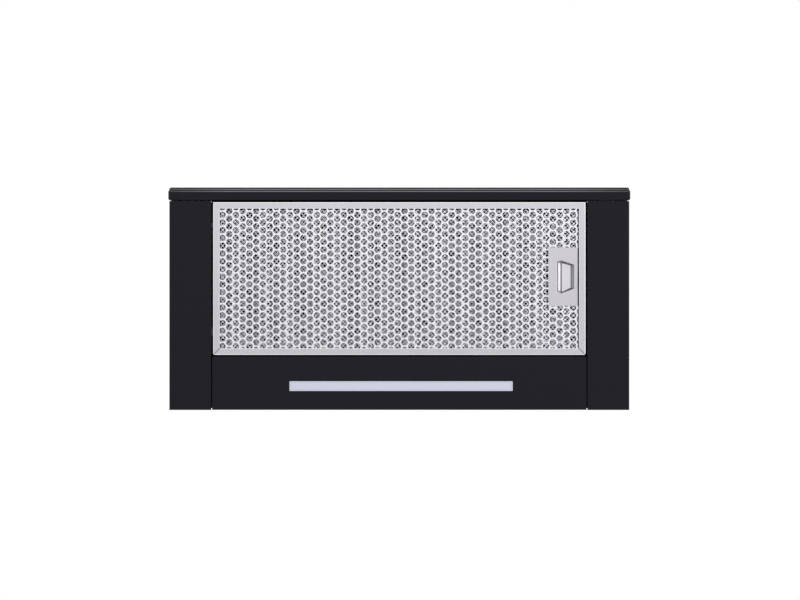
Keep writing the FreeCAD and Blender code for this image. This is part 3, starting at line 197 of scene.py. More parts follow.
def finish(name, colour, roughness, metallic=0.0, specular=0.5, grain=700.0, stretch=(1, 1, 1),
           cloud=14.0, spread=0.08, relief=0.01, polish=0.05, crystals=0.0):
    """Surface whose tone, roughness and relief follow noise on Object coordinates.

    A fine grain, stretched along the way the sheet was rolled or moulded, and slow clouds are
    added, and the sum sets the tone between a darker and a lighter colour. crystals adds flat
    cells of varied tone, as on galvanised sheet.
    """
    name += "_finish"
    material = bpy.data.materials.get(name)
    if material:
        return material
    material = bpy.data.materials.new(name)
    material.use_nodes = True
    place = add_node(material, "TexCoord").outputs["Object"]
    turn = add_node(material, "Mapping", Vector=place, Scale=stretch).outputs["Vector"]
    fine = add_node(material, "TexNoise", Vector=turn, Scale=grain, Detail=3.0).outputs["Fac"]
    slow = add_node(material, "TexNoise", Vector=place, Scale=cloud, Detail=2.0).outputs["Fac"]
    tone = calculated(material, "ADD", fine, slow)
    near, far = 0.7, 1.3
    if crystals:
        cells = add_node(material, "TexVoronoi", Vector=place, Scale=crystals)
        split = add_node(material, "SeparateColor", Color=cells.outputs["Color"])
        tone = calculated(material, "ADD", tone, split.outputs["Red"])
        near, far = 0.8, 2.2
    dark, light, tint = colour_mix(material, ranged(material, tone, 0.0, 1.0, near, far))
    for socket, share in ((dark, 1 - spread), (light, 1 + spread)):
        socket.default_value = [min(1.0, part * share) for part in colour] + [1.0]
    shader = material.node_tree.nodes["Principled BSDF"]
    for name, value in {
        "Base Color": tint,
        "Roughness": ranged(material, tone, roughness - polish, roughness + polish, near, far),
        "Normal": add_node(material, "Bump", Height=fine, Distance=relief * MM, Strength=1.0).outputs[0],
        "Metallic": metallic,
        "Specular IOR Level": specular,
    }.items():
        feed(material, shader.inputs[name], value)
    return material


def paint(name="black_powder_coat"):
    """Fine-textured black powder coat."""
    return finish(name, colours().paint, 0.46, specular=0.18, grain=900.0, cloud=7.0, spread=0.10,
                  relief=0.012)


def aluminium(name, colour, stretch, roughness=0.30, spread=0.05):
    """Rolled sheet with faint lines along the way it was rolled."""
    return finish(name, colour, roughness, metallic=1.0, grain=1500.0, stretch=stretch, cloud=11.0,
                  spread=spread, relief=0.0015, polish=0.06)


def galvanised():
    """Zinc-coated sheet with its flat crystals."""
    return finish("galvanised_sheet", colours().galvanised, 0.42, metallic=1.0, grain=300.0,
                  cloud=20.0, spread=0.16, relief=0.002, polish=0.10, crystals=95.0)


def plastic(name="moulded_black", colour=None, roughness=0.48):
    """Moulding with a fine grain."""
    return finish(name, colour or colours().plastic, roughness, specular=0.4, grain=1400.0,
                  cloud=18.0, spread=0.07, relief=0.012)


def metal(name, colour, roughness, stretch=(1, 1, 1), grain=900.0, spread=0.08):
    """Plain metal, brushed where the grain is stretched."""
    return finish(name, colour, roughness, metallic=1.0, grain=grain, stretch=stretch,
                  spread=spread, relief=0.003, polish=0.07)


# ---- meshes

# A mesh is its points, in millimetres, and groups of faces: arrays with the corners of one face a row.

SAME_PLACE_DECIMALS = 4
CORNER_STEPS = 5
EASE_WELD = 0.002
EASE_ANGLE = 40.0


def at_height(flat, z):
    """Flat points put at a height, or at a height for each of their rings."""
    return np.concatenate([flat, np.full(flat.shape[:-1] + (1,), z)], -1)


def grid_quads(rows, columns, round_rows=False, round_columns=False):
    """Corners of the four-sided faces of a grid, which may close on itself either way."""
    i = np.arange(rows if round_rows else rows - 1)[:, None]
    j = np.arange(columns if round_columns else columns - 1)[None, :]
    on = (j + 1) % columns
    up = (i + 1) % rows
    quads = np.broadcast_arrays(i * columns + j, i * columns + on, up * columns + on, up * columns + j)
    return np.stack(quads, -1).reshape(-1, 4)


def many_grids(stack, round_columns=True):
    """Mesh of grids of one size, given as an array with a grid of points a row."""
    many, rows, columns, _ = stack.shape
    quads = grid_quads(rows, columns, round_columns=round_columns)
    starts = np.arange(many)[:, None, None] * rows * columns
    return stack.reshape(-1, 3), [(quads + starts).reshape(-1, 4)]


def volume(points, groups):
    """Signed volume of a closed mesh, as a sum over triangles from each face's first corner."""
    total = 0.0
    for group in groups:
        first = points[group[:, 0]]
        for k in range(1, group.shape[1] - 1):
            total += np.einsum("ij,ij->", first, np.cross(points[group[:, k]], points[group[:, k + 1]]))
    return total


def outward(points, groups):
    """Faces of a closed mesh, turned over if its volume comes out negative."""
    return [group[:, ::-1] for group in groups] if volume(points, groups) < 0 else groups


def in_use(points, groups):
    """The same mesh without the points that no face has."""
    used = np.unique(np.concatenate([group.ravel() for group in groups]))
    renumber = np.zeros(len(points), int)
    renumber[used] = np.arange(len(used))
    return points[used], [renumber[group] for group in groups]


def merged(points, groups):
    """The same mesh with points at one place made one.

    A four-sided face with one side closed up becomes a triangle, in a new group after its own, and
    one with more is left out.
    """
    _, first, place = np.unique(
        np.round(points, SAME_PLACE_DECIMALS), axis=0, return_index=True, return_inverse=True
    )
    whole = []
    for group in groups:
        group = place.reshape(-1)[group]
        closed = group == np.roll(group, -1, axis=1)
        count = closed.sum(1)
        side = closed[count == 1].argmax(1)[:, None]
        whole.append(group[count == 0])
        whole.append(np.take_along_axis(group[count == 1], (side + np.arange(1, 4)) % 4, 1))
    return in_use(points[first], whole)


def together(meshes):
    """Several meshes as one."""
    starts = np.cumsum([0] + [len(points) for points, _ in meshes])
    faces = [group + start for (_, groups), start in zip(meshes, starts) for group in groups]
    return np.concatenate([points for points, _ in meshes]), faces


def joined(meshes):
    """Several closed meshes as one, each turned so that its faces point outwards."""
    return together([(points, outward(points, groups)) for points, groups in meshes])


def banded(rings, *marked, ends=True):
    """Mesh through rings of as many points each.

    The first group holds the bands between rings that aren't marked, and each set of marked bands
    has its own. With ends, one face closes each end, and without, a band joins the last ring to
    the first.
    """
    count = len(rings[0])
    quads = grid_quads(len(rings), count, not ends, True)
    band = quads[:, 0] // count
    groups = [quads[~np.isin(band, sum(marked, ()))]] + [quads[np.isin(band, bands)] for bands in marked]
    if ends:
        ring = np.arange(count)[None, :]
        groups += [ring[:, ::-1], ring + count * (len(rings) - 1)]
    return np.concatenate(rings), groups


def skin(rings, *marked):
    """Mesh through rings that come back to the first one, or start and end in a closed pole."""
    return merged(*banded(rings, *marked, ends=False))


def add_object(name, data):
    """Object with its data, in the scene."""
    item = bpy.data.objects.new(name, data)
    bpy.context.scene.collection.objects.link(item)
    return item


def put_piece(name, mesh, body, slot, node, *materials, picks=None, closed=True, crease=35.0):
    """Object from a mesh, riding on a body in place of a node.

    Picks gives the number of each group's material. A closed mesh whose volume comes out negative
    has its faces turned over.
    """
    points, groups = mesh
    picks = [pick for pick, group in zip(picks or [0] * len(groups), groups) if len(group)]
    groups = [group for group in groups if len(group)]
    if closed:
        groups = outward(points, groups)
    data = bpy.data.meshes.new(name)
    data.from_pydata(points * MM, [], [face for group in groups for face in group.tolist()])
    if data.validate():
        raise RuntimeError(f"{name} has faces that don't hold together")
    data.polygons.foreach_set("material_index", np.repeat(picks, [len(group) for group in groups]))
    data.shade_smooth()
    data.set_sharp_from_angle(angle=math.radians(crease))
    for material in materials:
        data.materials.append(material)
    piece = add_object(name, data)
    if closed:
        piece.modifiers.new("even_flats", "WEIGHTED_NORMAL").keep_sharp = True
    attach(piece, body)
    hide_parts(node)
    return piece


def pair(name):
    """Names of the left and the right node of a pair."""
    return name + "_left", name + "_right"


def dress(material, *nodes):
    """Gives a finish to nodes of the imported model."""
    for node in nodes:
        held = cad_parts[node].data.materials
        held.clear()
        held.append(material)


def ease(width, *nodes):
    """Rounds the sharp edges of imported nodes, whose loose triangles are welded for it."""
    for node in nodes:
        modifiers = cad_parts[node].modifiers
        modifiers.new("weld", "WELD").merge_threshold = EASE_WELD * MM
        bevel = modifiers.new("eased_edges", "BEVEL")
        bevel.width = width * MM
        bevel.segments = 2
        bevel.limit_method = "ANGLE"
        bevel.angle_limit = math.radians(EASE_ANGLE)


def bent_line(corners, radius, steps):
    """Flat path with its inner corners rounded.

    At a corner where the way turns by an angle t, the arc starts and ends radius * tan(t / 2) from
    the corner, and the way along it turns evenly.
    """
    path = np.array([complex(*corner) for corner in corners])
    ways = np.diff(path) / np.abs(np.diff(path))
    turns = np.angle(ways[1:] / ways[:-1])
    radius = np.array(radius)
    reach = radius * np.tan(np.abs(turns) / 2)
    share = np.linspace(0, 1, steps + 1)[None, :]
    start = path[1:-1] - reach * ways[:-1]
    centre = start + 1j * radius * np.sign(turns) * ways[:-1]
    arcs = centre[:, None] + (start - centre)[:, None] * np.exp(1j * turns[:, None] * share)
    line = np.concatenate([path[:1], arcs.ravel(), path[-1:]])
    return np.stack([line.real, line.imag], -1)


def rounded_box(half_x, half_y, radius, steps):
    """Outline of a rectangle with rounded corners, round its middle, anticlockwise."""
    corner = np.linspace(0, math.pi / 2, steps + 1)
    angles = (corner[None, :] + np.arange(4)[:, None] * math.pi / 2).ravel()
    side_x = np.repeat([1, -1, -1, 1], steps + 1) * (half_x - radius)
    side_y = np.repeat([1, 1, -1, -1], steps + 1) * (half_y - radius)
    return np.stack([side_x + radius * np.cos(angles), side_y + radius * np.sin(angles)], -1)


def block(low, high, bevel):
    """Closed box with bevelled edges all round its height."""
    low, high = np.array(low), np.array(high)
    middle, half = (low + high) / 2, (high - low) / 2
    levels = ((bevel, -half[2]), (0.0, bevel - half[2]), (0.0, half[2] - bevel), (bevel, half[2]))
    return banded([
        at_height(rounded_box(half[0] - inset, half[1] - inset, bevel, 2), z) + middle
        for inset, z in levels
    ])


def turned(profile, steps):
    """Rings of a profile of distances from an axis and heights along it, turned round the axis."""
    profile = np.array(profile)
    angles = np.linspace(0, FULL_TURN, steps, endpoint=False)
    out = profile[:, :1]
    return np.stack([out * np.cos(angles), out * np.sin(angles), np.repeat(profile[:, 1:], steps, 1)], -1)


def placed(mesh, seat, axis, way=1):
    """Mesh turned from the upright axis to axis 0, 1 or 2, and moved to a seat."""
    points, groups = mesh
    return np.roll(points * (1, 1, way), axis - 2, axis=1) + seat, groups


# ---- perforated face of the tray's filter

COLUMN_PITCH = 8.767
ROW_PITCH = 10.05
COLUMNS = 54
ROWS = 22
FIRST_HOLE = (-229.9, -82.75)
SHEET_SIDES = (-232.9, 231.7)
HOLE_MARGIN = 4.9
HEXAGON_STEPS = 3
ROLL_RISE = 0.8
CORNER_REACH = COLUMN_PITCH * 0.7
CORNER_SLANT = 2.2
LEAST_AREA = 0.002


def hexagon():
    """Outline of one hole's share of the sheet.

    Its corners are equally far from three neighbouring holes, and each side is divided evenly, so
    that neighbouring shares have the same points.
    """
    half = ROW_PITCH / 2
    near = (COLUMN_PITCH**2 - half**2) / (2 * COLUMN_PITCH)
    far = COLUMN_PITCH - near
    corners = np.array([(far, 0), (near, half), (-near, half), (-far, 0), (-near, -half), (near, -half)])
    share = np.arange(HEXAGON_STEPS)[None, :, None] / HEXAGON_STEPS
    sides = corners[:, None] * (1 - share) + np.roll(corners, -1, axis=0)[:, None] * share
    return sides.reshape(-1, 2)


def hole_sites():
    """Middles of the holes' shares over the whole sheet, and which of them have a hole.

    Every second column is moved by half a row.
    """
    column, row = np.meshgrid(np.arange(-1, COLUMNS + 1), np.arange(-2, ROWS), indexing="ij")
    x = FIRST_HOLE[0] + COLUMN_PITCH * column
    y = FIRST_HOLE[1] - ROW_PITCH * row + ROW_PITCH / 2 * (column % 2)
    inside = (column >= 0) & (column < COLUMNS)
    inside &= (y < FACE_HIGH[1] - HOLE_MARGIN) & (y > FACE_LOW[1] + HOLE_MARGIN)
    near_latch = (x > POCKET_LEFT - HOLE_MARGIN) & (np.abs(y - LATCH_Y) < POCKET_HALF + HOLE_MARGIN)
    return np.stack([x, y], -1).reshape(-1, 2), (inside & ~near_latch).ravel()


def pocket_gaps(flat):
    """How far points lie inside the latch's pocket from its side, front and rear edges."""
    x, y = flat[..., 0], flat[..., 1]
    return np.stack([x - POCKET_LEFT, y - (LATCH_Y - POCKET_HALF), (LATCH_Y + POCKET_HALF) - y], -1)


def kept_on_sheet(flat, middle=False):
    """Points moved to the nearest place on the sheet, and which of them were in the pocket.

    A point in the latch's pocket goes to its nearest edge, or to the corner where that is close
    and, unless it is the middle of a share, both edges are about as far.
    """
    flat = np.clip(flat, (SHEET_SIDES[0], FACE_LOW[1]), (SHEET_SIDES[1], FACE_HIGH[1]))
    gaps = pocket_gaps(flat)
    inside = gaps.min(-1) > 0
    side, end = gaps[..., 0], gaps[..., 1:].min(-1)
    edge = np.where(gaps[..., 1] < gaps[..., 2], LATCH_Y - POCKET_HALF, LATCH_Y + POCKET_HALF)
    corner = np.maximum(side, end) < CORNER_REACH
    if not middle:
        corner &= np.maximum(side, end) < CORNER_SLANT * np.minimum(side, end)
    new_x = np.where(inside & (corner | (side <= end)), POCKET_LEFT, flat[..., 0])
    new_y = np.where(inside & (corner | (side > end)), edge, flat[..., 1])
    return np.stack([new_x, new_y], -1), inside


def cut_holes(sites, side, edge, hole, roll):
    """Rings round the part of each hole that a side edge of the sheet leaves.

    The outer ring follows the site's hexagon from one end of the cut to the other. An inner ring
    of radius r is the arc on the sheet's side, whose half angle has a cosine of -d / r, where d is
    how far the edge lies outside the hole's middle.
    """
    outline = hexagon()
    kept = outline[side * (sites[0, 0] + outline[:, 0] - edge) < 0]
    turn = np.arctan2(kept[:, 1], -side * kept[:, 0])
    half = np.abs(outline[:, 1]).max()
    out = edge - sites[0, 0]
    rings = [np.concatenate([[(out, -half)], kept[np.argsort(turn)], [(out, half)]])]
    for radius in (hole / 2 + roll, hole / 2):
        reach = np.arccos(-side * out / radius)
        angle = np.linspace(-reach, reach, len(rings[0]))
        rings.append(np.stack([-side * radius * np.cos(angle), radius * np.sin(angle)], -1))
    return sites[:, None, None] + np.stack(rings)


def on_sheet(points, group):
    """Which four-sided faces have an area and lie outside the latch's pocket.

    The area is the length of the cross product of the diagonals, and the place is the middle of
    the first three corners.
    """
    corners = points[group]
    area = np.cross(corners[:, 2] - corners[:, 0], corners[:, 3] - corners[:, 1])
    clear = pocket_gaps(corners[:, :3].mean(1)).min(-1) <= 0
    return clear & (np.linalg.norm(area, axis=1) > LEAST_AREA)


def facing_down(points, group):
    """Faces turned the way round that points them down: the sign of the area seen from above."""
    x, y = points[group][..., 0], points[group][..., 1]
    area = (x * np.roll(y, -1, 1) - np.roll(x, -1, 1) * y).sum(1)
    return np.where((area > 0)[:, None], group[:, ::-1], group)


def perforated_sheet(hole, roll):
    """Sheet with holes in a staggered pattern.

    Every site has a ring on its hexagon. A site with a hole joins it to a ring where the hole's
    rolled edge starts and to one at the hole, a little higher, and a plain site to its middle.
    """
    sites, holed = hole_sites()
    outline = hexagon()
    way = outline / np.linalg.norm(outline, axis=1, keepdims=True)
    rims, sunk = kept_on_sheet(sites[:, None] + outline)
    level = FACE_LOW[2]
    heights = np.array([level, level, level + roll * ROLL_RISE])[:, None, None]
    whole = holed & (np.abs(sites[:, 0] - sum(SHEET_SIDES) / 2) < COLUMN_PITCH * (COLUMNS - 2) / 2)
    middles = sites[whole][:, None]
    rings = np.stack([rims[whole], middles + way * (hole / 2 + roll), middles + way * hole / 2], 1)
    plain = ~holed & ~sunk.all(1)
    middles, _ = kept_on_sheet(sites[plain], middle=True)
    fans = np.stack([rims[plain], np.broadcast_to(middles[:, None], rims[plain].shape)], 1)
    meshes = [many_grids(at_height(rings, heights)), many_grids(at_height(fans, level))]
    for side, edge in zip((-1, 1), SHEET_SIDES):
        outer = holed & ~whole & (side * sites[:, 0] > 0)
        cut = cut_holes(sites[outer], side, edge, hole, roll)
        meshes.append(many_grids(at_height(cut, heights), round_columns=False))
    points, groups = together(meshes)
    points, groups = merged(points, [group[on_sheet(points, group)] for group in groups])
    return points, [facing_down(points, group) for group in groups]


class HOOD_OT_filter_face(bpy.types.Operator):
    """Makes the perforated sheet of the tray's filter"""

    bl_idname = "hood.filter_face"
    bl_label = "Perforated face"

    def execute(self, context):
        held = sizes()
        piece = put_piece("perforated_face", perforated_sheet(held["hole"], held["hole_roll"]), "filter",
                          "filter_aluminium", "filter_face",
                          aluminium("face_aluminium", colours().face, (0.04, 1, 1), 0.34), closed=False)
        sheet = piece.modifiers.new("sheet", "SOLIDIFY")
        sheet.thickness = (FACE_HIGH[2] - FACE_LOW[2]) * MM
        sheet.offset = -1.0
        return {"FINISHED"}


# ---- expanded mesh of both filters

MESH_LEFT = -233.2
MESH_FRONT = -261.6
STRAND_OVERLAP = 0.25
STRAND_TILT = 0.45


def mesh_pad(low, high, pitch, half_way, width, thickness, wave, shift, pocket=False):
    """Layer of expanded mesh.

    Strand j runs along X and zigzags by half a pitch to either side of its line, the other way
    round from its neighbours, so that it touches them at every other bend. The layer waves up and
    down as a sine of X, and each strand is a flat strip whose edges tilt to and fro. Strands that
    would run into the latch's pocket stop before it.
    """
    strands = np.arange(low[1] + pitch, high[1] - pitch, pitch)
    bends = np.arange(low[0] + width, high[0] - width, half_way)
    stop = np.full(len(strands), len(bends) - 1)
    if pocket:
        meets = np.abs(strands - LATCH_Y) < POCKET_HALF + pitch
        stop[meets] = np.searchsorted(bends, POCKET_LEFT - width) - 1
    j = np.arange(len(strands))[:, None]
    i = np.minimum(np.arange(len(bends))[None, :], stop[:, None])
    side = 1 - 2 * ((i + j) % 2)
    x = bends[i]
    y = strands[:, None] + side * (pitch - width * STRAND_OVERLAP) / 2
    middle = (low[2] + high[2]) / 2
    swing = (high[2] - low[2] - 2 * thickness) / 2
    z = middle + swing * np.sin(FULL_TURN * x / wave + shift)
    tilt = side * thickness * STRAND_TILT
    across = np.array([-0.5, 0.5, 0.5, -0.5]) * width
    upward = np.array([-0.5, -0.5, 0.5, 0.5]) * thickness
    grid = np.stack(np.broadcast_arrays(
        x[..., None],
        y[..., None] + across,
        z[..., None] + upward + tilt[..., None] * across / width,
    ), -1)
    start = j * len(bends) * 4
    quads = grid_quads(len(bends), 4, round_columns=True)
    live = (quads[:, 0] // 4)[None, :] < stop[:, None]
    ends = np.array([[3, 2, 1, 0]]) + start
    stops = np.array([[0, 1, 2, 3]]) + start + stop[:, None] * 4
    return in_use(grid.reshape(-1, 3), [(quads[None] + start[..., None])[live], ends, stops])


def mesh_finish(name="expanded_mesh", share=1.0):
    """Bright expanded aluminium, or a darker copy of it behind, whose lower share is painted shade."""
    colour = [part * share for part in colours().mesh]
    return finish(name, colour, 0.22, metallic=1.0, grain=500.0, cloud=40.0, spread=0.12,
                  relief=0.002, polish=0.08)


class HOOD_OT_filter_mesh(bpy.types.Operator):
    """Makes two layers of expanded mesh in the tray's filter and a coarser one in the filter above"""

    bl_idname = "hood.filter_mesh"
    bl_label = "Expanded mesh"

    def execute(self, context):
        held = sizes()
        low, high = span("filter_mesh")
        low = np.maximum(low, (MESH_LEFT, MESH_FRONT, low[2]))
        middle = (low[2] + high[2]) / 2
        pitch = held["diamond"] / 2
        # Heights, distance between strands and between their bends, and phase of the waves
        for name, bottom, top, strand_pitch, half_way, shift in (
            ("mesh_layer_lower", low[2], middle, pitch, 2.7, 0.0),
            ("mesh_layer_upper", middle, high[2], pitch * 1.27, 2.5, 2.0),
        ):
            layer = mesh_pad((*low[:2], bottom), (*high[:2], top), strand_pitch, half_way, held["strand"],
                             thickness=0.35, wave=12.0, shift=shift, pocket=True)
            put_piece(name, layer, "filter", "filter_mesh", "filter_mesh", mesh_finish())
        layer = mesh_pad(*span("fixed_filter_mesh"), held["diamond"] * 0.6, 4.4, held["strand"] * 1.3,
                         thickness=0.5, wave=14.0, shift=1.0)
        # The filter above gets the same aluminium at 0.4 of its brightness: painted shade
        put_piece("fixed_mesh_layer", layer, "housing", "filter_mesh", "fixed_filter_mesh",
                  mesh_finish("shaded_mesh", 0.4))
        return {"FINISHED"}


# ---- rims of both filters

RIM = 8.8
RIM_SHEET = 0.8
RIM_BEND = 1.2
RIM_ROLL = 0.7
RIM_CREASE = 50.0
BEND_STEPS = 6
# Edges of the channel's outline that lie in the second and third of its bends, the lower ones, which get
# a brighter finish as a painted highlight
HIGHLIGHT_EDGES = [bend * (BEND_STEPS + 1) + 1 + step for bend in (1, 2) for step in range(BEND_STEPS)]
RIM_PICKS = [0, 0, 1, 1, 0, 0, 0, 0]
TIGHT_MITRE = 0.04
TABS = ((-102.05, 12.0), (-239.65, 6.0))
TAB_LOW, TAB_HIGH = -40.6, -39.6
TAB_BEVEL = 0.2


def channel_profile(bottom):
    """Outer and inner line of the rim's channel, as distances inwards and heights."""
    top = bottom + RIM_HIGH[2] - UNDER
    path = [(RIM, top), (0, top), (0, bottom), (RIM, bottom), (RIM, bottom + RIM_SHEET * 0.9)]
    inner = [(RIM, top - RIM_SHEET), (RIM_SHEET, top - RIM_SHEET),
             (RIM_SHEET, bottom + RIM_SHEET), (RIM, bottom + RIM_SHEET)]
    outer_line = bent_line(path, (RIM_BEND, RIM_BEND, RIM_ROLL), BEND_STEPS)
    inner_line = bent_line(inner, RIM_BEND - RIM_SHEET, BEND_STEPS)
    inner_line[-1] = (RIM - RIM_SHEET * 0.1, bottom + RIM_SHEET)
    return outer_line, inner_line


def rim_bar(side, front, rear, bottom, gap):
    """One mitred bar of the rim.

    The channel's outline is carried along the bar, and each point starts and ends as far from the
    corner as it lies inwards, so that the ends are cut at half a right angle. The bars meet closely
    at the front corners and leave a gap at the rear ones.
    """
    outer, inner = channel_profile(bottom)
    loop = np.concatenate([outer, inner[::-1]])
    inward, height = loop[:, 0], loop[:, 1]
    if side in ("front", "rear"):
        edge, way, apart = (front, 1, TIGHT_MITRE) if side == "front" else (rear, -1, gap)
        first = np.stack([inward + apart - RIM_HIGH[0], edge + way * inward, height], -1)
        second = first * (-1, 1, 1)
    else:
        x = (inward - RIM_HIGH[0]) * (1 if side == "left" else -1)
        first = np.stack([x, front + inward + TIGHT_MITRE, height], -1)
        second = np.stack([x, rear - inward - gap, height], -1)
    count, half = len(loop), len(outer)
    share = np.round(np.linspace(0, len(inner) - 1, half)).astype(int)
    cap = np.stack([np.arange(half - 1), np.arange(1, half), count - 1 - share[1:],
                    count - 1 - share[:-1]], -1)
    sides = grid_quads(2, count, round_columns=True)
    highlit = np.isin(np.arange(count), HIGHLIGHT_EDGES)
    groups = [sides[~highlit], sides[highlit], cap[:, ::-1], cap + count]
    return merged(np.concatenate([first, second]), groups)


def rim_bars(front, rear, bottom):
    """The four mitred bars of a rim."""
    gap = sizes()["mitre"]
    return joined([rim_bar(side, front, rear, bottom, gap)
                   for side in ("front", "rear", "left", "right")])


class HOOD_OT_rims(bpy.types.Operator):
    """Makes the mitred bars of both filters' rims, and the hook tabs"""

    bl_idname = "hood.rims"
    bl_label = "Filter rims"

    def execute(self, context):
        bare = aluminium("rim_aluminium", colours().rim, (0.03, 1, 1), 0.27, 0.06)
        # A brighter copy of the rim's aluminium on the lower bends: painted highlight
        bend = aluminium("bend_highlight_aluminium", colours().bend, (0.1, 0.1, 1), 0.22)
        sides = aluminium("rim_side_aluminium", colours().rim, (1, 0.03, 1), 0.27, 0.06)
        put_piece("filter_rim", rim_bars(RIM_LOW[1], RIM_HIGH[1], UNDER), "filter", "filter_aluminium",
                  "filter_frame", bare, bend, sides,
                  picks=RIM_PICKS * 2 + [pick or 2 for pick in RIM_PICKS] * 2, crease=RIM_CREASE)
        tab_end = RIM_SHEET - RIM_HIGH[0]
        tabs = [block((RIM_LOW[0], y - width / 2, TAB_LOW), (tab_end, y + width / 2, TAB_HIGH), TAB_BEVEL)
                for y, width in TABS]
        # The aluminium tabs get a near-black tone: painted shade, so that they read as lying in the
        # shaded gap
        put_piece("filter_tabs", joined(tabs), "filter", "filter_aluminium", "filter_frame",
                  metal("shaded_tab_aluminium", (0.10, 0.10, 0.11), 0.4))
        low, high = span("fixed_filter_frame")
        put_piece("fixed_filter_rim", rim_bars(low[1], high[1], low[2]), "housing", "filter_aluminium",
                  "fixed_filter_frame", bare, crease=RIM_CREASE)
        return {"FINISHED"}


# ---- latch

# Distances of the finger cup's sides and corners from its middle at the mouth, and how much less
# they are at the floor. The three values are those of the left side, the peak and the right side.
CUP_LEFT, CUP_RIGHT = 8.8, 14.8
CUP_PEAK = 2.9
CUP_HALVES = (19.0, 21.9, 15.6)
CUP_SIDES = (6.84, 3.6)
CUP_FRONT = (0.3, 3.4, 0.0)
CUP_REAR = (0.3, 1.6, 0.6)
CUP_DEPTH = 5.2
CUP_WALL = 0.8
CUP_CORNER = 1.2
CUP_CORNER_LOSS = 0.8
FLANGE_HALF = 25.7
FLANGE_SHEET = 0.8
FLANGE_PLAY = 0.1
FAR_OUT = -75.0
# Share of the way down the walls, height above the mouth and inset of each ring inside the cup
CUP_INSIDE = (
    (0.0, 0.0, -0.4), (0.0, 0.07, -0.12), (0.04, 0.1, 0.0), (0.22, 0.3, 0.0), (0.26, 2.4, 0.1),
    (0.32, 3.0, 0.4), (0.62, 4.0, 0.1), (0.9, 4.9, 0.0), (1.0, CUP_DEPTH, -0.5),
    (1.0, CUP_DEPTH + 0.4, -0.4), (1.0, CUP_DEPTH + 0.4, 0.6), (1.0, CUP_DEPTH, 0.7),
    (1.0, CUP_DEPTH - 0.05, 0.95),
)
# Bands of the cup's groove and of a band of its wall that get a near-black finish: painted shade in the
# creases
CUP_SHADED_BANDS = (7, 8, 12, 13, 14)
# Height above the plate's underside and inset of each ring at its window
WINDOW_INSIDE = ((0.0, -0.5), (0.08, -0.15), (0.3, 0.0))
# Bands of the window's inner wall, which get a dark grey finish as painted shade
WINDOW_SHADED_BANDS = (5, 6)
PLATE_EASE = 0.15
BOLT_HALF = 7.0
BOLT_LOW, BOLT_HIGH = 0.7, 1.9
BOLT_BEVEL = 0.3


def cup_ring(share, z, inset=0.0):
    """Six-sided outline of the finger cup at a height, with rounded corners.

    The share says how far down the sloping walls the outline lies: the left wall runs in most, the
    right and front ones less and the rear one least. The inset then moves every side in alike.
    """
    left = CUP_LEFT - CUP_SIDES[0] * share - inset
    right = CUP_RIGHT - CUP_SIDES[1] * share - inset
    peak = min(CUP_PEAK, left * CUP_PEAK / CUP_LEFT)
    front = np.array(CUP_HALVES) - np.array(CUP_FRONT) * share - inset
    rear = np.array(CUP_HALVES) - np.array(CUP_REAR) * share - inset
    corners = [(right, 0), (right, rear[2]), (-peak, rear[1]), (-left, rear[0]), (-left, -front[0]),
               (-peak, -front[1]), (right, -front[2]), (right, 0)]
    flat = bent_line(corners, CUP_CORNER * (1 - CUP_CORNER_LOSS * share), CORNER_STEPS)[:-1]
    return at_height(flat + (LATCH_X, LATCH_Y), z)


def square_ring(low, high, z):
    """Rectangle with the cup's number of points: an outline far outside, moved in to the limits."""
    return at_height(np.clip(cup_ring(0.0, z, FAR_OUT)[:, :2], low, high), z)


def make_latch_plate():
    """Puts a plate with an eased outline and a rolled window in place of the plain one; the window's
    inner wall has a dark grey finish as painted shade.
    """
    (*low, bottom), (*high, top) = PLATE_LOW, PLATE_HIGH
    low, high = np.array(low), np.array(high)
    rings = [
        cup_ring(0.0, top),
        square_ring(low, high, top),
        square_ring(low, high, bottom + PLATE_EASE),
        square_ring(low + PLATE_EASE, high - PLATE_EASE, bottom),
    ]
    rings += [cup_ring(0.0, bottom + height, inset) for height, inset in WINDOW_INSIDE]
    put_piece("cover_plate", skin(rings, WINDOW_SHADED_BANDS), "filter", "filter_aluminium", "latch_plate",
              aluminium("plate_aluminium", colours().plate, (1, 0.04, 1)),
              metal("window_edge_shade", (0.16, 0.16, 0.165), 0.4), picks=[0, 0, 1, 1])


def make_latch():
    """Puts a moulded latch with its finger cup, flange and bolt in place of the plain one, with painted
    shade: a near-black finish in the cup's groove and creases, and on the bolt, which sits in a shaded
    gap.

    The surface goes through rings from the back of the floor down the outside, round the flange
    and the mouth, over a step, up the sloping inside and over a groove at the edge of the floor.
    """
    mouth = LATCH_LOW[2]
    low = (LATCH_X - CUP_LEFT - CUP_WALL, LATCH_Y - FLANGE_HALF)
    high = (PLATE_HIGH[0] - FLANGE_PLAY, LATCH_Y + FLANGE_HALF)
    rings = [
        cup_ring(1.0, mouth + CUP_DEPTH + CUP_WALL, -CUP_WALL),
        cup_ring(0.0, mouth + FLANGE_SHEET, -CUP_WALL),
        square_ring(low, high, mouth + FLANGE_SHEET),
        square_ring(low, high, mouth),
    ]
    rings += [cup_ring(share, mouth + height, inset) for share, height, inset in CUP_INSIDE]
    bolt = block((LATCH_X + CUP_RIGHT, LATCH_Y - BOLT_HALF, mouth + BOLT_LOW),
                 (LATCH_HIGH[0], LATCH_Y + BOLT_HALF, mouth + BOLT_HIGH), BOLT_BEVEL)
    grey = finish("latch_grey", colours().latch, 0.34, metallic=0.8, grain=900.0, cloud=30.0,
                  spread=0.04, relief=0.004)
    put_piece("cup_latch", joined([banded(rings, CUP_SHADED_BANDS), bolt]), "latch", "latch_grey",
              "filter_latch", grey, metal("groove_and_bolt_shade", (0.03, 0.03, 0.032), 0.45),
              picks=[0, 1, 0, 0] + [1] * len(bolt[1]))


class HOOD_OT_latch(bpy.types.Operator):
    """Makes the latch and its cover plate"""

    bl_idname = "hood.latch"
    bl_label = "Latch"

    def execute(self, context):
        make_latch_plate()
        make_latch()
        return {"FINISHED"}


# ---- screws and buttons

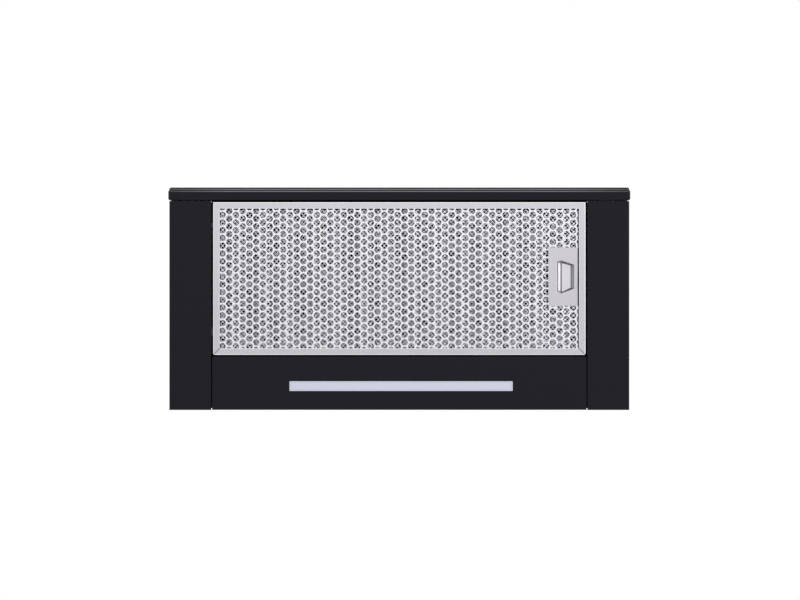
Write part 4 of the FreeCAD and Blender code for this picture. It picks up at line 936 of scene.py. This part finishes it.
# Profiles of a screw and a button: distances from the axis and heights along it
SCREW_PROFILE = (
    (0.0, -8.0), (1.0, -8.0), (1.9, -7.1), (1.9, 0.0), (3.496, 0.0), (3.8, 0.12), (3.8, 0.55),
    (3.5, 1.25), (2.9, 1.68), (2.3, 1.9), (1.9, 1.97), (1.5, 2.0), (1.1, 2.0), (0.75, 2.0),
    (0.45, 2.0), (0.0, 2.0),
)
BUTTON_PROFILE = (
    (0.0, 0.55), (1.2, 0.53), (2.3, 0.44), (3.1, 0.26), (3.55, 0.06), (3.8, 0.0), (4.2, 0.03),
    (4.42, 0.14), (4.5, 0.4), (4.5, 6.1), (5.6, 6.1), (5.6, 7.2), (1.5, 7.2), (1.5, 11.7), (0.0, 11.7),
)
SCREW_STEPS = 40
BUTTON_STEPS = 48
RECESS_ABOVE = 1.6
RECESS_REACH = 2.1
RECESS_HALF = 0.52
RECESS_DEPTH = 1.2
RECESS_SIDE_FADE, RECESS_END_FADE = 0.15, 0.5
ROOF_SCREW_X = 249.0
ROOF_SCREW_YS = (-255.0, -131.0, -12.0)
BRACKET_SCREW_X = 257.0
BRACKET_SCREW_YS = (-156.0, -106.0)
BRACKET_SCREW_Z = 75.0
TRAY_SCREW_XS = (-200.0, -100.0, 100.0, 200.0)
TRAY_SCREW_Y = -272.2
TRAY_SCREW_Z = -22.75


def pan_screw():
    """Pan-head screw on an upright axis, its seat at height 0, with a cross recess.

    The profile is turned round the axis. Points of the head closer to one of the two arms than its
    half width sink by the recess's depth, less near its ends.
    """
    rings = turned(SCREW_PROFILE, SCREW_STEPS)
    aside = np.minimum(np.abs(rings[..., 0]), np.abs(rings[..., 1]))
    along = np.hypot(rings[..., 0], rings[..., 1])
    arm = np.clip((RECESS_HALF - aside) / RECESS_SIDE_FADE, 0, 1)
    arm *= np.clip((RECESS_REACH - along) / RECESS_END_FADE, 0, 1)
    rings[..., 2] -= np.where(rings[..., 2] > RECESS_ABOVE, arm * RECESS_DEPTH, 0.0)
    return skin(rings)


class HOOD_OT_screws(bpy.types.Operator):
    """Makes the screws of the box and the fascia"""

    bl_idname = "hood.screws"
    bl_label = "Screws"

    def execute(self, context):
        zinc = metal("zinc_screws", (0.62, 0.62, 0.66), 0.3)
        screw = pan_screw()
        box = [placed(screw, (side * ROOF_SCREW_X, y, ROOF), 2)
               for side in (-1, 1) for y in ROOF_SCREW_YS]
        box += [placed(screw, (side * BRACKET_SCREW_X, y, BRACKET_SCREW_Z), 0, side)
                for side in (-1, 1) for y in BRACKET_SCREW_YS]
        row = [placed(screw, (x, TRAY_SCREW_Y, TRAY_SCREW_Z), 1) for x in TRAY_SCREW_XS]
        put_piece("box_screws", joined(box), "housing", "zinc_screws", "housing_screws", zinc)
        put_piece("fascia_screws", joined(row), "tray", "zinc_screws", "tray_screws", zinc)
        return {"FINISHED"}


class HOOD_OT_buttons(bpy.types.Operator):
    """Makes dished push buttons, each a profile turned round its axis"""

    bl_idname = "hood.buttons"
    bl_label = "Push buttons"

    def execute(self, context):
        face = finish("button_face", (0.42, 0.43, 0.46), 0.28, metallic=1.0, grain=900.0, relief=0.003)
        for name in ("lamp", "off", "low", "medium", "high"):
            low, high = span("button_" + name)
            seat = ((low[0] + high[0]) / 2, low[1], (low[2] + high[2]) / 2)
            button = placed(skin(turned(BUTTON_PROFILE, BUTTON_STEPS)), seat, 1)
            put_piece("push_" + name, button, name + "_button", "button_face", "button_" + name, face)
        return {"FINISHED"}


# ---- lamp

LENS_NOSE = np.array([145.0, 6.3])
LENS_SEAT = 1.02
FLANGE_CORNER = 0.6
# Inset and height above the lens's underside of each ring of its nose, from the rim over the sunk line
NOSE_RINGS = ((0.0, 0.25), (0.25, 0.0), (1.1, 0.0), (1.2, 0.22), (1.45, 0.22), (1.55, 0.03))
# Bands of the rounded border, the sunk line and the flange's underside: a painted highlight on the border
# and painted shade in the line and under the flange
LENS_BANDS = (3, 4), (5, 6), (1,)
# Shares of the lens colour: the plain face, a brighter copy as painted highlight on the border, and
# darker copies as painted shade in the sunk line and under the flange
LENS_LIT_AND_SHADED = {"face": 1.0, "border": 1.12, "line": 0.55, "shade": 0.02}


class HOOD_OT_lamp(bpy.types.Operator):
    """Makes an opal lens with a fine sunk line, with a painted highlight on its border and painted shade
    in the line and under its flange, and finishes what is behind it
    """

    bl_idname = "hood.lamp"
    bl_label = "Lamp"

    def execute(self, context):
        corner = sizes()["lens_corner"]
        middle, flange = (LENS_LOW + LENS_HIGH)[:2] / 2, (LENS_HIGH - LENS_LOW)[:2] / 2
        seat = UNDER + LENS_SEAT
        levels = [(flange, FLANGE_CORNER, LENS_HIGH[2]), (flange, FLANGE_CORNER, seat),
                  (LENS_NOSE, corner, seat)]
        levels += [(LENS_NOSE - inset, corner, LENS_LOW[2] + height) for inset, height in NOSE_RINGS]
        rings = [at_height(rounded_box(*half, radius, CORNER_STEPS) + middle, z)
                 for half, radius, z in levels]
        lit_and_shaded_tones = [
            finish("opal_" + name, [part * share for part in colours().lens], 0.34, specular=0.35,
                   grain=500.0, cloud=6.0, spread=0.02, relief=0.003, polish=0.04)
            for name, share in LENS_LIT_AND_SHADED.items()
        ]
        put_piece("opal_lens", banded(rings, *LENS_BANDS), "housing", "lens_opal", "lamp_lens", *lit_and_shaded_tones,
                  picks=[0, 1, 2, 3, 0, 0])
        dress(finish("light_board", (0.78, 0.79, 0.78), 0.45, grain=300.0), "lamp_board")
        dress(finish("light_packages", (0.80, 0.66, 0.22), 0.3, grain=900.0), "lamp_leds")
        dress(finish("driver_case", (0.60, 0.61, 0.62), 0.45, grain=900.0), "lamp_driver")
        return {"FINISHED"}


# ---- painted highlight lines on the fascia

# Distances of the painted highlight lines from the front and the back of the glass, and half their width
GLASS_HIGHLIGHT = 2.4
BAR_HIGHLIGHT = 1.1
HIGHLIGHT_HALF = 0.35
# Distances from mid width, in metres, where a painted highlight line starts to fade, as light falling off
# towards the ends, and where it has its end's share
HIGHLIGHT_FADE = (0.22, 0.297)
HIGHLIGHT_END = 0.4


def with_highlight_line(material, middle):
    """Draws a painted highlight across Y on a finish: a lighter line that stands in for light caught on
    an edge, fading towards the ends of the hood.

    The share of the line's colour is 1 within half its width of the middle and falls to 0 over the
    same distance again, times a share that falls with the distance from mid width.
    """
    place = add_node(material, "SeparateXYZ", Vector=add_node(material, "TexCoord").outputs["Object"])
    away = calculated(material, "SUBTRACT", place.outputs["Y"], middle * MM)
    away = calculated(material, "ABSOLUTE", away, 0.0)
    aside = calculated(material, "ABSOLUTE", place.outputs["X"], 0.0)
    across = ranged(material, away, 1.0, 0.0, HIGHLIGHT_HALF * MM, 2 * HIGHLIGHT_HALF * MM)
    share = calculated(material, "MULTIPLY", across, ranged(material, aside, 1.0, HIGHLIGHT_END, *HIGHLIGHT_FADE))
    under, over, tint = colour_mix(material, share)
    base = material.node_tree.nodes["Principled BSDF"].inputs["Base Color"]
    feed(material, under, base.links[0].from_socket)
    feed(material, over, [*colours().edge_highlight, 1.0])
    feed(material, base, tint)
    return material


# ---- stage

# Middle of the picture, in millimetres, and the floor in metres: its half size, its height, how
# much dimmer its reflection is under the hood, and from where to where that fades
VIEW_MIDDLE = (0.9, -142.9)
FLOOR_HALF = 40.0
FLOOR_Z = -3.4
DIMMER = -0.09
POOL = (3.5, 4.6)
# Name, place, target and width of each lamp in metres, and its share of the key light's power
LAMPS = (
    ("side", (1.9, -0.2, -1.25), (0.0, -0.14, 0.0), 1.0, 0.7),
    ("key", (0.1, -1.2, -1.6), (0.0, -0.2, 0.0), 2.2, 1.0),
    ("top", (-1.4, -1.6, 1.8), (0.0, -0.13, 0.1), 2.0, 3.0),
)


def background_share(material):
    """1 for camera, mirror and see-through rays, and 0 for the light that falls on things."""
    path = add_node(material, "LightPath")
    seen = calculated(material, "MAXIMUM", path.outputs["Is Camera Ray"], path.outputs["Is Glossy Ray"])
    return calculated(material, "MAXIMUM", seen, path.outputs["Is Transmission Ray"])


def make_world(fill):
    """White surroundings that light the scene at the fill's strength."""
    world = bpy.data.worlds.new("studio")
    bpy.context.scene.world = world
    world.use_nodes = True
    light = world.node_tree.nodes["Background"]
    light.inputs["Color"].default_value = (1.0, 1.0, 1.0, 1.0)
    feed(world, light.inputs["Strength"], ranged(world, background_share(world), fill, 1.0, 0.0, 1.0))


def make_floor():
    """Pale floor well below the hood, a little dimmer right under it in what metal mirrors."""
    mesh = bpy.data.meshes.new("floor")
    corners = [(x * FLOOR_HALF, y * FLOOR_HALF, FLOOR_Z) for x, y in ((-1, -1), (1, -1), (1, 1), (-1, 1))]
    mesh.from_pydata(corners, [], [(0, 1, 2, 3)])
    material = bpy.data.materials.new("pale_floor")
    material.use_nodes = True
    nodes = material.node_tree.nodes
    matt = nodes["Principled BSDF"]
    matt.inputs["Base Color"].default_value = (0.8, 0.8, 0.8, 1.0)
    matt.inputs["Roughness"].default_value = 0.8
    away = add_node(material, "VectorMath", Vector=add_node(material, "TexCoord").outputs["Object"])
    away.operation = "LENGTH"
    dimmer = ranged(material, away.outputs["Value"], DIMMER, 0.0, *POOL)
    glossy = add_node(material, "LightPath").outputs["Is Glossy Ray"]
    strength = calculated(material, "ADD", calculated(material, "MULTIPLY", glossy, dimmer), 1.0)
    glow = add_node(material, "Emission", Color=(1.0, 1.0, 1.0, 1.0), Strength=strength)
    mix = add_node(material, "MixShader", Fac=background_share(material))
    feed(material, mix.inputs[1], matt.outputs[0])
    feed(material, mix.inputs[2], glow.outputs[0])
    feed(material, nodes["Material Output"].inputs["Surface"], mix.outputs[0])
    mesh.materials.append(material)
    floor = add_object("floor", mesh)


def add_lamp(name, place, target, size, power):
    """Soft square lamp that the camera doesn't see."""
    light = bpy.data.lights.new(name, "AREA")
    light.shape = "SQUARE"
    light.size = size
    light.energy = power
    lamp = add_object(name, light)
    lamp.location = place
    lamp.rotation_mode = "QUATERNION"
    lamp.rotation_quaternion = (Vector(place) - Vector(target)).to_track_quat("Z", "Y")
    lamp.visible_camera = False


class HOOD_OT_stage(bpy.types.Operator):
    """Sets up a camera that looks straight up, the floor and the light"""

    bl_idname = "hood.stage"
    bl_label = "Stage"

    def execute(self, context):
        scene = context.scene
        held = scene.hood_stage
        camera_data = bpy.data.cameras.new("camera")
        camera = add_object("camera", camera_data)
        camera_data.lens = held.focal
        camera_data.clip_end = 100.0
        distance = held.field * held.focal / camera_data.sensor_width
        camera.location = (VIEW_MIDDLE[0] * MM, VIEW_MIDDLE[1] * MM, UNDER * MM - distance)
        camera.rotation_euler = (math.pi, 0.0, 0.0)
        scene.camera = camera
        scene.view_settings.view_transform = "Standard"
        make_world(held.fill)
        make_floor()
        for name, place, target, size, share in LAMPS:
            add_lamp(name, place, target, size, held.key * share)
        return {"FINISHED"}


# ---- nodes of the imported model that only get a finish


class HOOD_OT_underside(bpy.types.Operator):
    """Paints the strips and the light panel, and the sheets behind the seams a black that is darker than
    the outer paint as painted shade in the seams
    """

    bl_idname = "hood.underside"
    bl_label = "Painted underside"

    def execute(self, context):
        outer = *pair("side_channel"), "light_panel"
        dress(paint(), *outer)
        ease(0.5, *outer)
        # Darker than the outer paint: painted shade in the seams
        inner = finish("seam_shade_black", colours().inner, 0.6, specular=0.04, grain=900.0)
        dress(inner, "plenum_frame", "front_crossbar", "rear_crossbar", "tray_frame")
        return {"FINISHED"}


class HOOD_OT_fascia(bpy.types.Operator):
    """Finishes the glass front, the bar behind it and its end caps"""

    bl_idname = "hood.fascia"
    bl_label = "Glass fascia"

    def execute(self, context):
        glass = finish("black_glass", colours().glass, 0.08, specular=0.3, grain=60.0, cloud=5.0,
                       spread=0.05, relief=0.0, polish=0.02)
        # The lighter lines on the glass and the bar are painted highlights for light caught on their
        # edges
        dress(with_highlight_line(glass, GLASS_LOW[1] + GLASS_HIGHLIGHT), "fascia_glass")
        dress(with_highlight_line(paint("bar_powder_coat"), GLASS_HIGH[1] + BAR_HIGHLIGHT), "fascia_carrier")
        dress(plastic(), *pair("end_cap"), "switch_block")
        ease(0.3, *pair("end_cap"))
        return {"FINISHED"}


class HOOD_OT_sheets(bpy.types.Operator):
    """Finishes the galvanised sheets"""

    bl_idname = "hood.sheets"
    bl_label = "Galvanised sheets"

    def execute(self, context):
        dress(galvanised(), "upper_box", "rear_panel", "top_panel", *pair("cabinet_bracket"),
              "motor_strap", "lamp_holder")
        return {"FINISHED"}


class HOOD_OT_rails(bpy.types.Operator):
    """Finishes the telescopic rails"""

    bl_idname = "hood.rails"
    bl_label = "Rails"

    def execute(self, context):
        dress(metal("rail_steel", (0.30, 0.31, 0.33), 0.36, stretch=(1, 0.05, 1)),
              *pair("rail_outer"), *pair("rail_middle"), *pair("rail_inner"))
        return {"FINISHED"}


class HOOD_OT_blower(bpy.types.Operator):
    """Finishes the blower and its motor"""

    bl_idname = "hood.blower"
    bl_label = "Blower"

    def execute(self, context):
        dress(plastic("grey_casing", (0.15, 0.155, 0.16), 0.5),
              "blower_shell_lower", "blower_shell_upper")
        dress(plastic("impeller_plastic", (0.03, 0.03, 0.032), 0.42), *pair("impeller"))
        dress(plastic("motor_paint", (0.05, 0.052, 0.055), 0.35), "motor_housing")
        dress(plastic(), "motor_saddle")
        steel = metal("laminated_steel", (0.36, 0.36, 0.37), 0.4, (40, 1, 1), grain=60.0, spread=0.2)
        dress(steel, "motor_stator", "motor_shaft")
        dress(metal("bearing_bronze", (0.55, 0.38, 0.20), 0.38), "motor_bearings")
        dress(finish("capacitor_shell", (0.62, 0.63, 0.64), 0.35, grain=400.0), "capacitor")
        return {"FINISHED"}


class HOOD_OT_outlet(bpy.types.Operator):
    """Finishes the duct collar, its flaps and the electric fittings on the roof"""

    bl_idname = "hood.outlet"
    bl_label = "Outlet and fittings"

    def execute(self, context):
        fixed = "outlet_collar", "terminal_box", "cable_gland"
        dress(plastic(), *fixed, "flap_front", "flap_rear")
        ease(0.35, *fixed)
        return {"FINISHED"}


class HOOD_PT_panel(bpy.types.Panel):
    """Lists the hood's pieces, sizes and colours"""

    bl_idname = "HOOD_PT_panel"
    bl_label = "Pull-out hood"
    bl_space_type = "VIEW_3D"
    bl_region_type = "UI"
    bl_category = "Hood"

    def draw(self, context):
        """Settings first, then one button for each operator."""
        for group in GROUPS:
            held = getattr(context.scene, group)
            for name in type(held).__annotations__:
                self.layout.prop(held, name)
        for operator in OPERATORS:
            self.layout.operator(operator.bl_idname)


# In the order in which they run
OPERATORS = (
    HOOD_OT_stage, HOOD_OT_underside, HOOD_OT_fascia, HOOD_OT_sheets, HOOD_OT_rails, HOOD_OT_blower,
    HOOD_OT_outlet, HOOD_OT_screws, HOOD_OT_lamp, HOOD_OT_buttons, HOOD_OT_filter_face,
    HOOD_OT_filter_mesh, HOOD_OT_rims, HOOD_OT_latch,
)
GROUPS = {"hood_sizes": HoodSizes, "hood_colours": HoodColours, "hood_stage": HoodStage}


def register():
    """Registers the settings, the operators and the panel."""
    for name, group in GROUPS.items():
        bpy.utils.register_class(group)
        setattr(bpy.types.Scene, name, bpy.props.PointerProperty(type=group))
    for operator in OPERATORS:
        bpy.utils.register_class(operator)
    bpy.utils.register_class(HOOD_PT_panel)


def unregister():
    """Takes back what register put in place."""
    bpy.utils.unregister_class(HOOD_PT_panel)
    for operator in reversed(OPERATORS):
        bpy.utils.unregister_class(operator)
    for name, group in GROUPS.items():
        delattr(bpy.types.Scene, name)
        bpy.utils.unregister_class(group)


def plain(box):
    """Box corners as plain lists."""
    return [list(corner) for corner in box]


def main():
    """Builds every piece in turn."""
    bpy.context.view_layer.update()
    register()
    for operator in OPERATORS:
        getattr(bpy.ops.hood, operator.bl_idname.split(".")[1])()


if __name__ == "__main__":
    main()
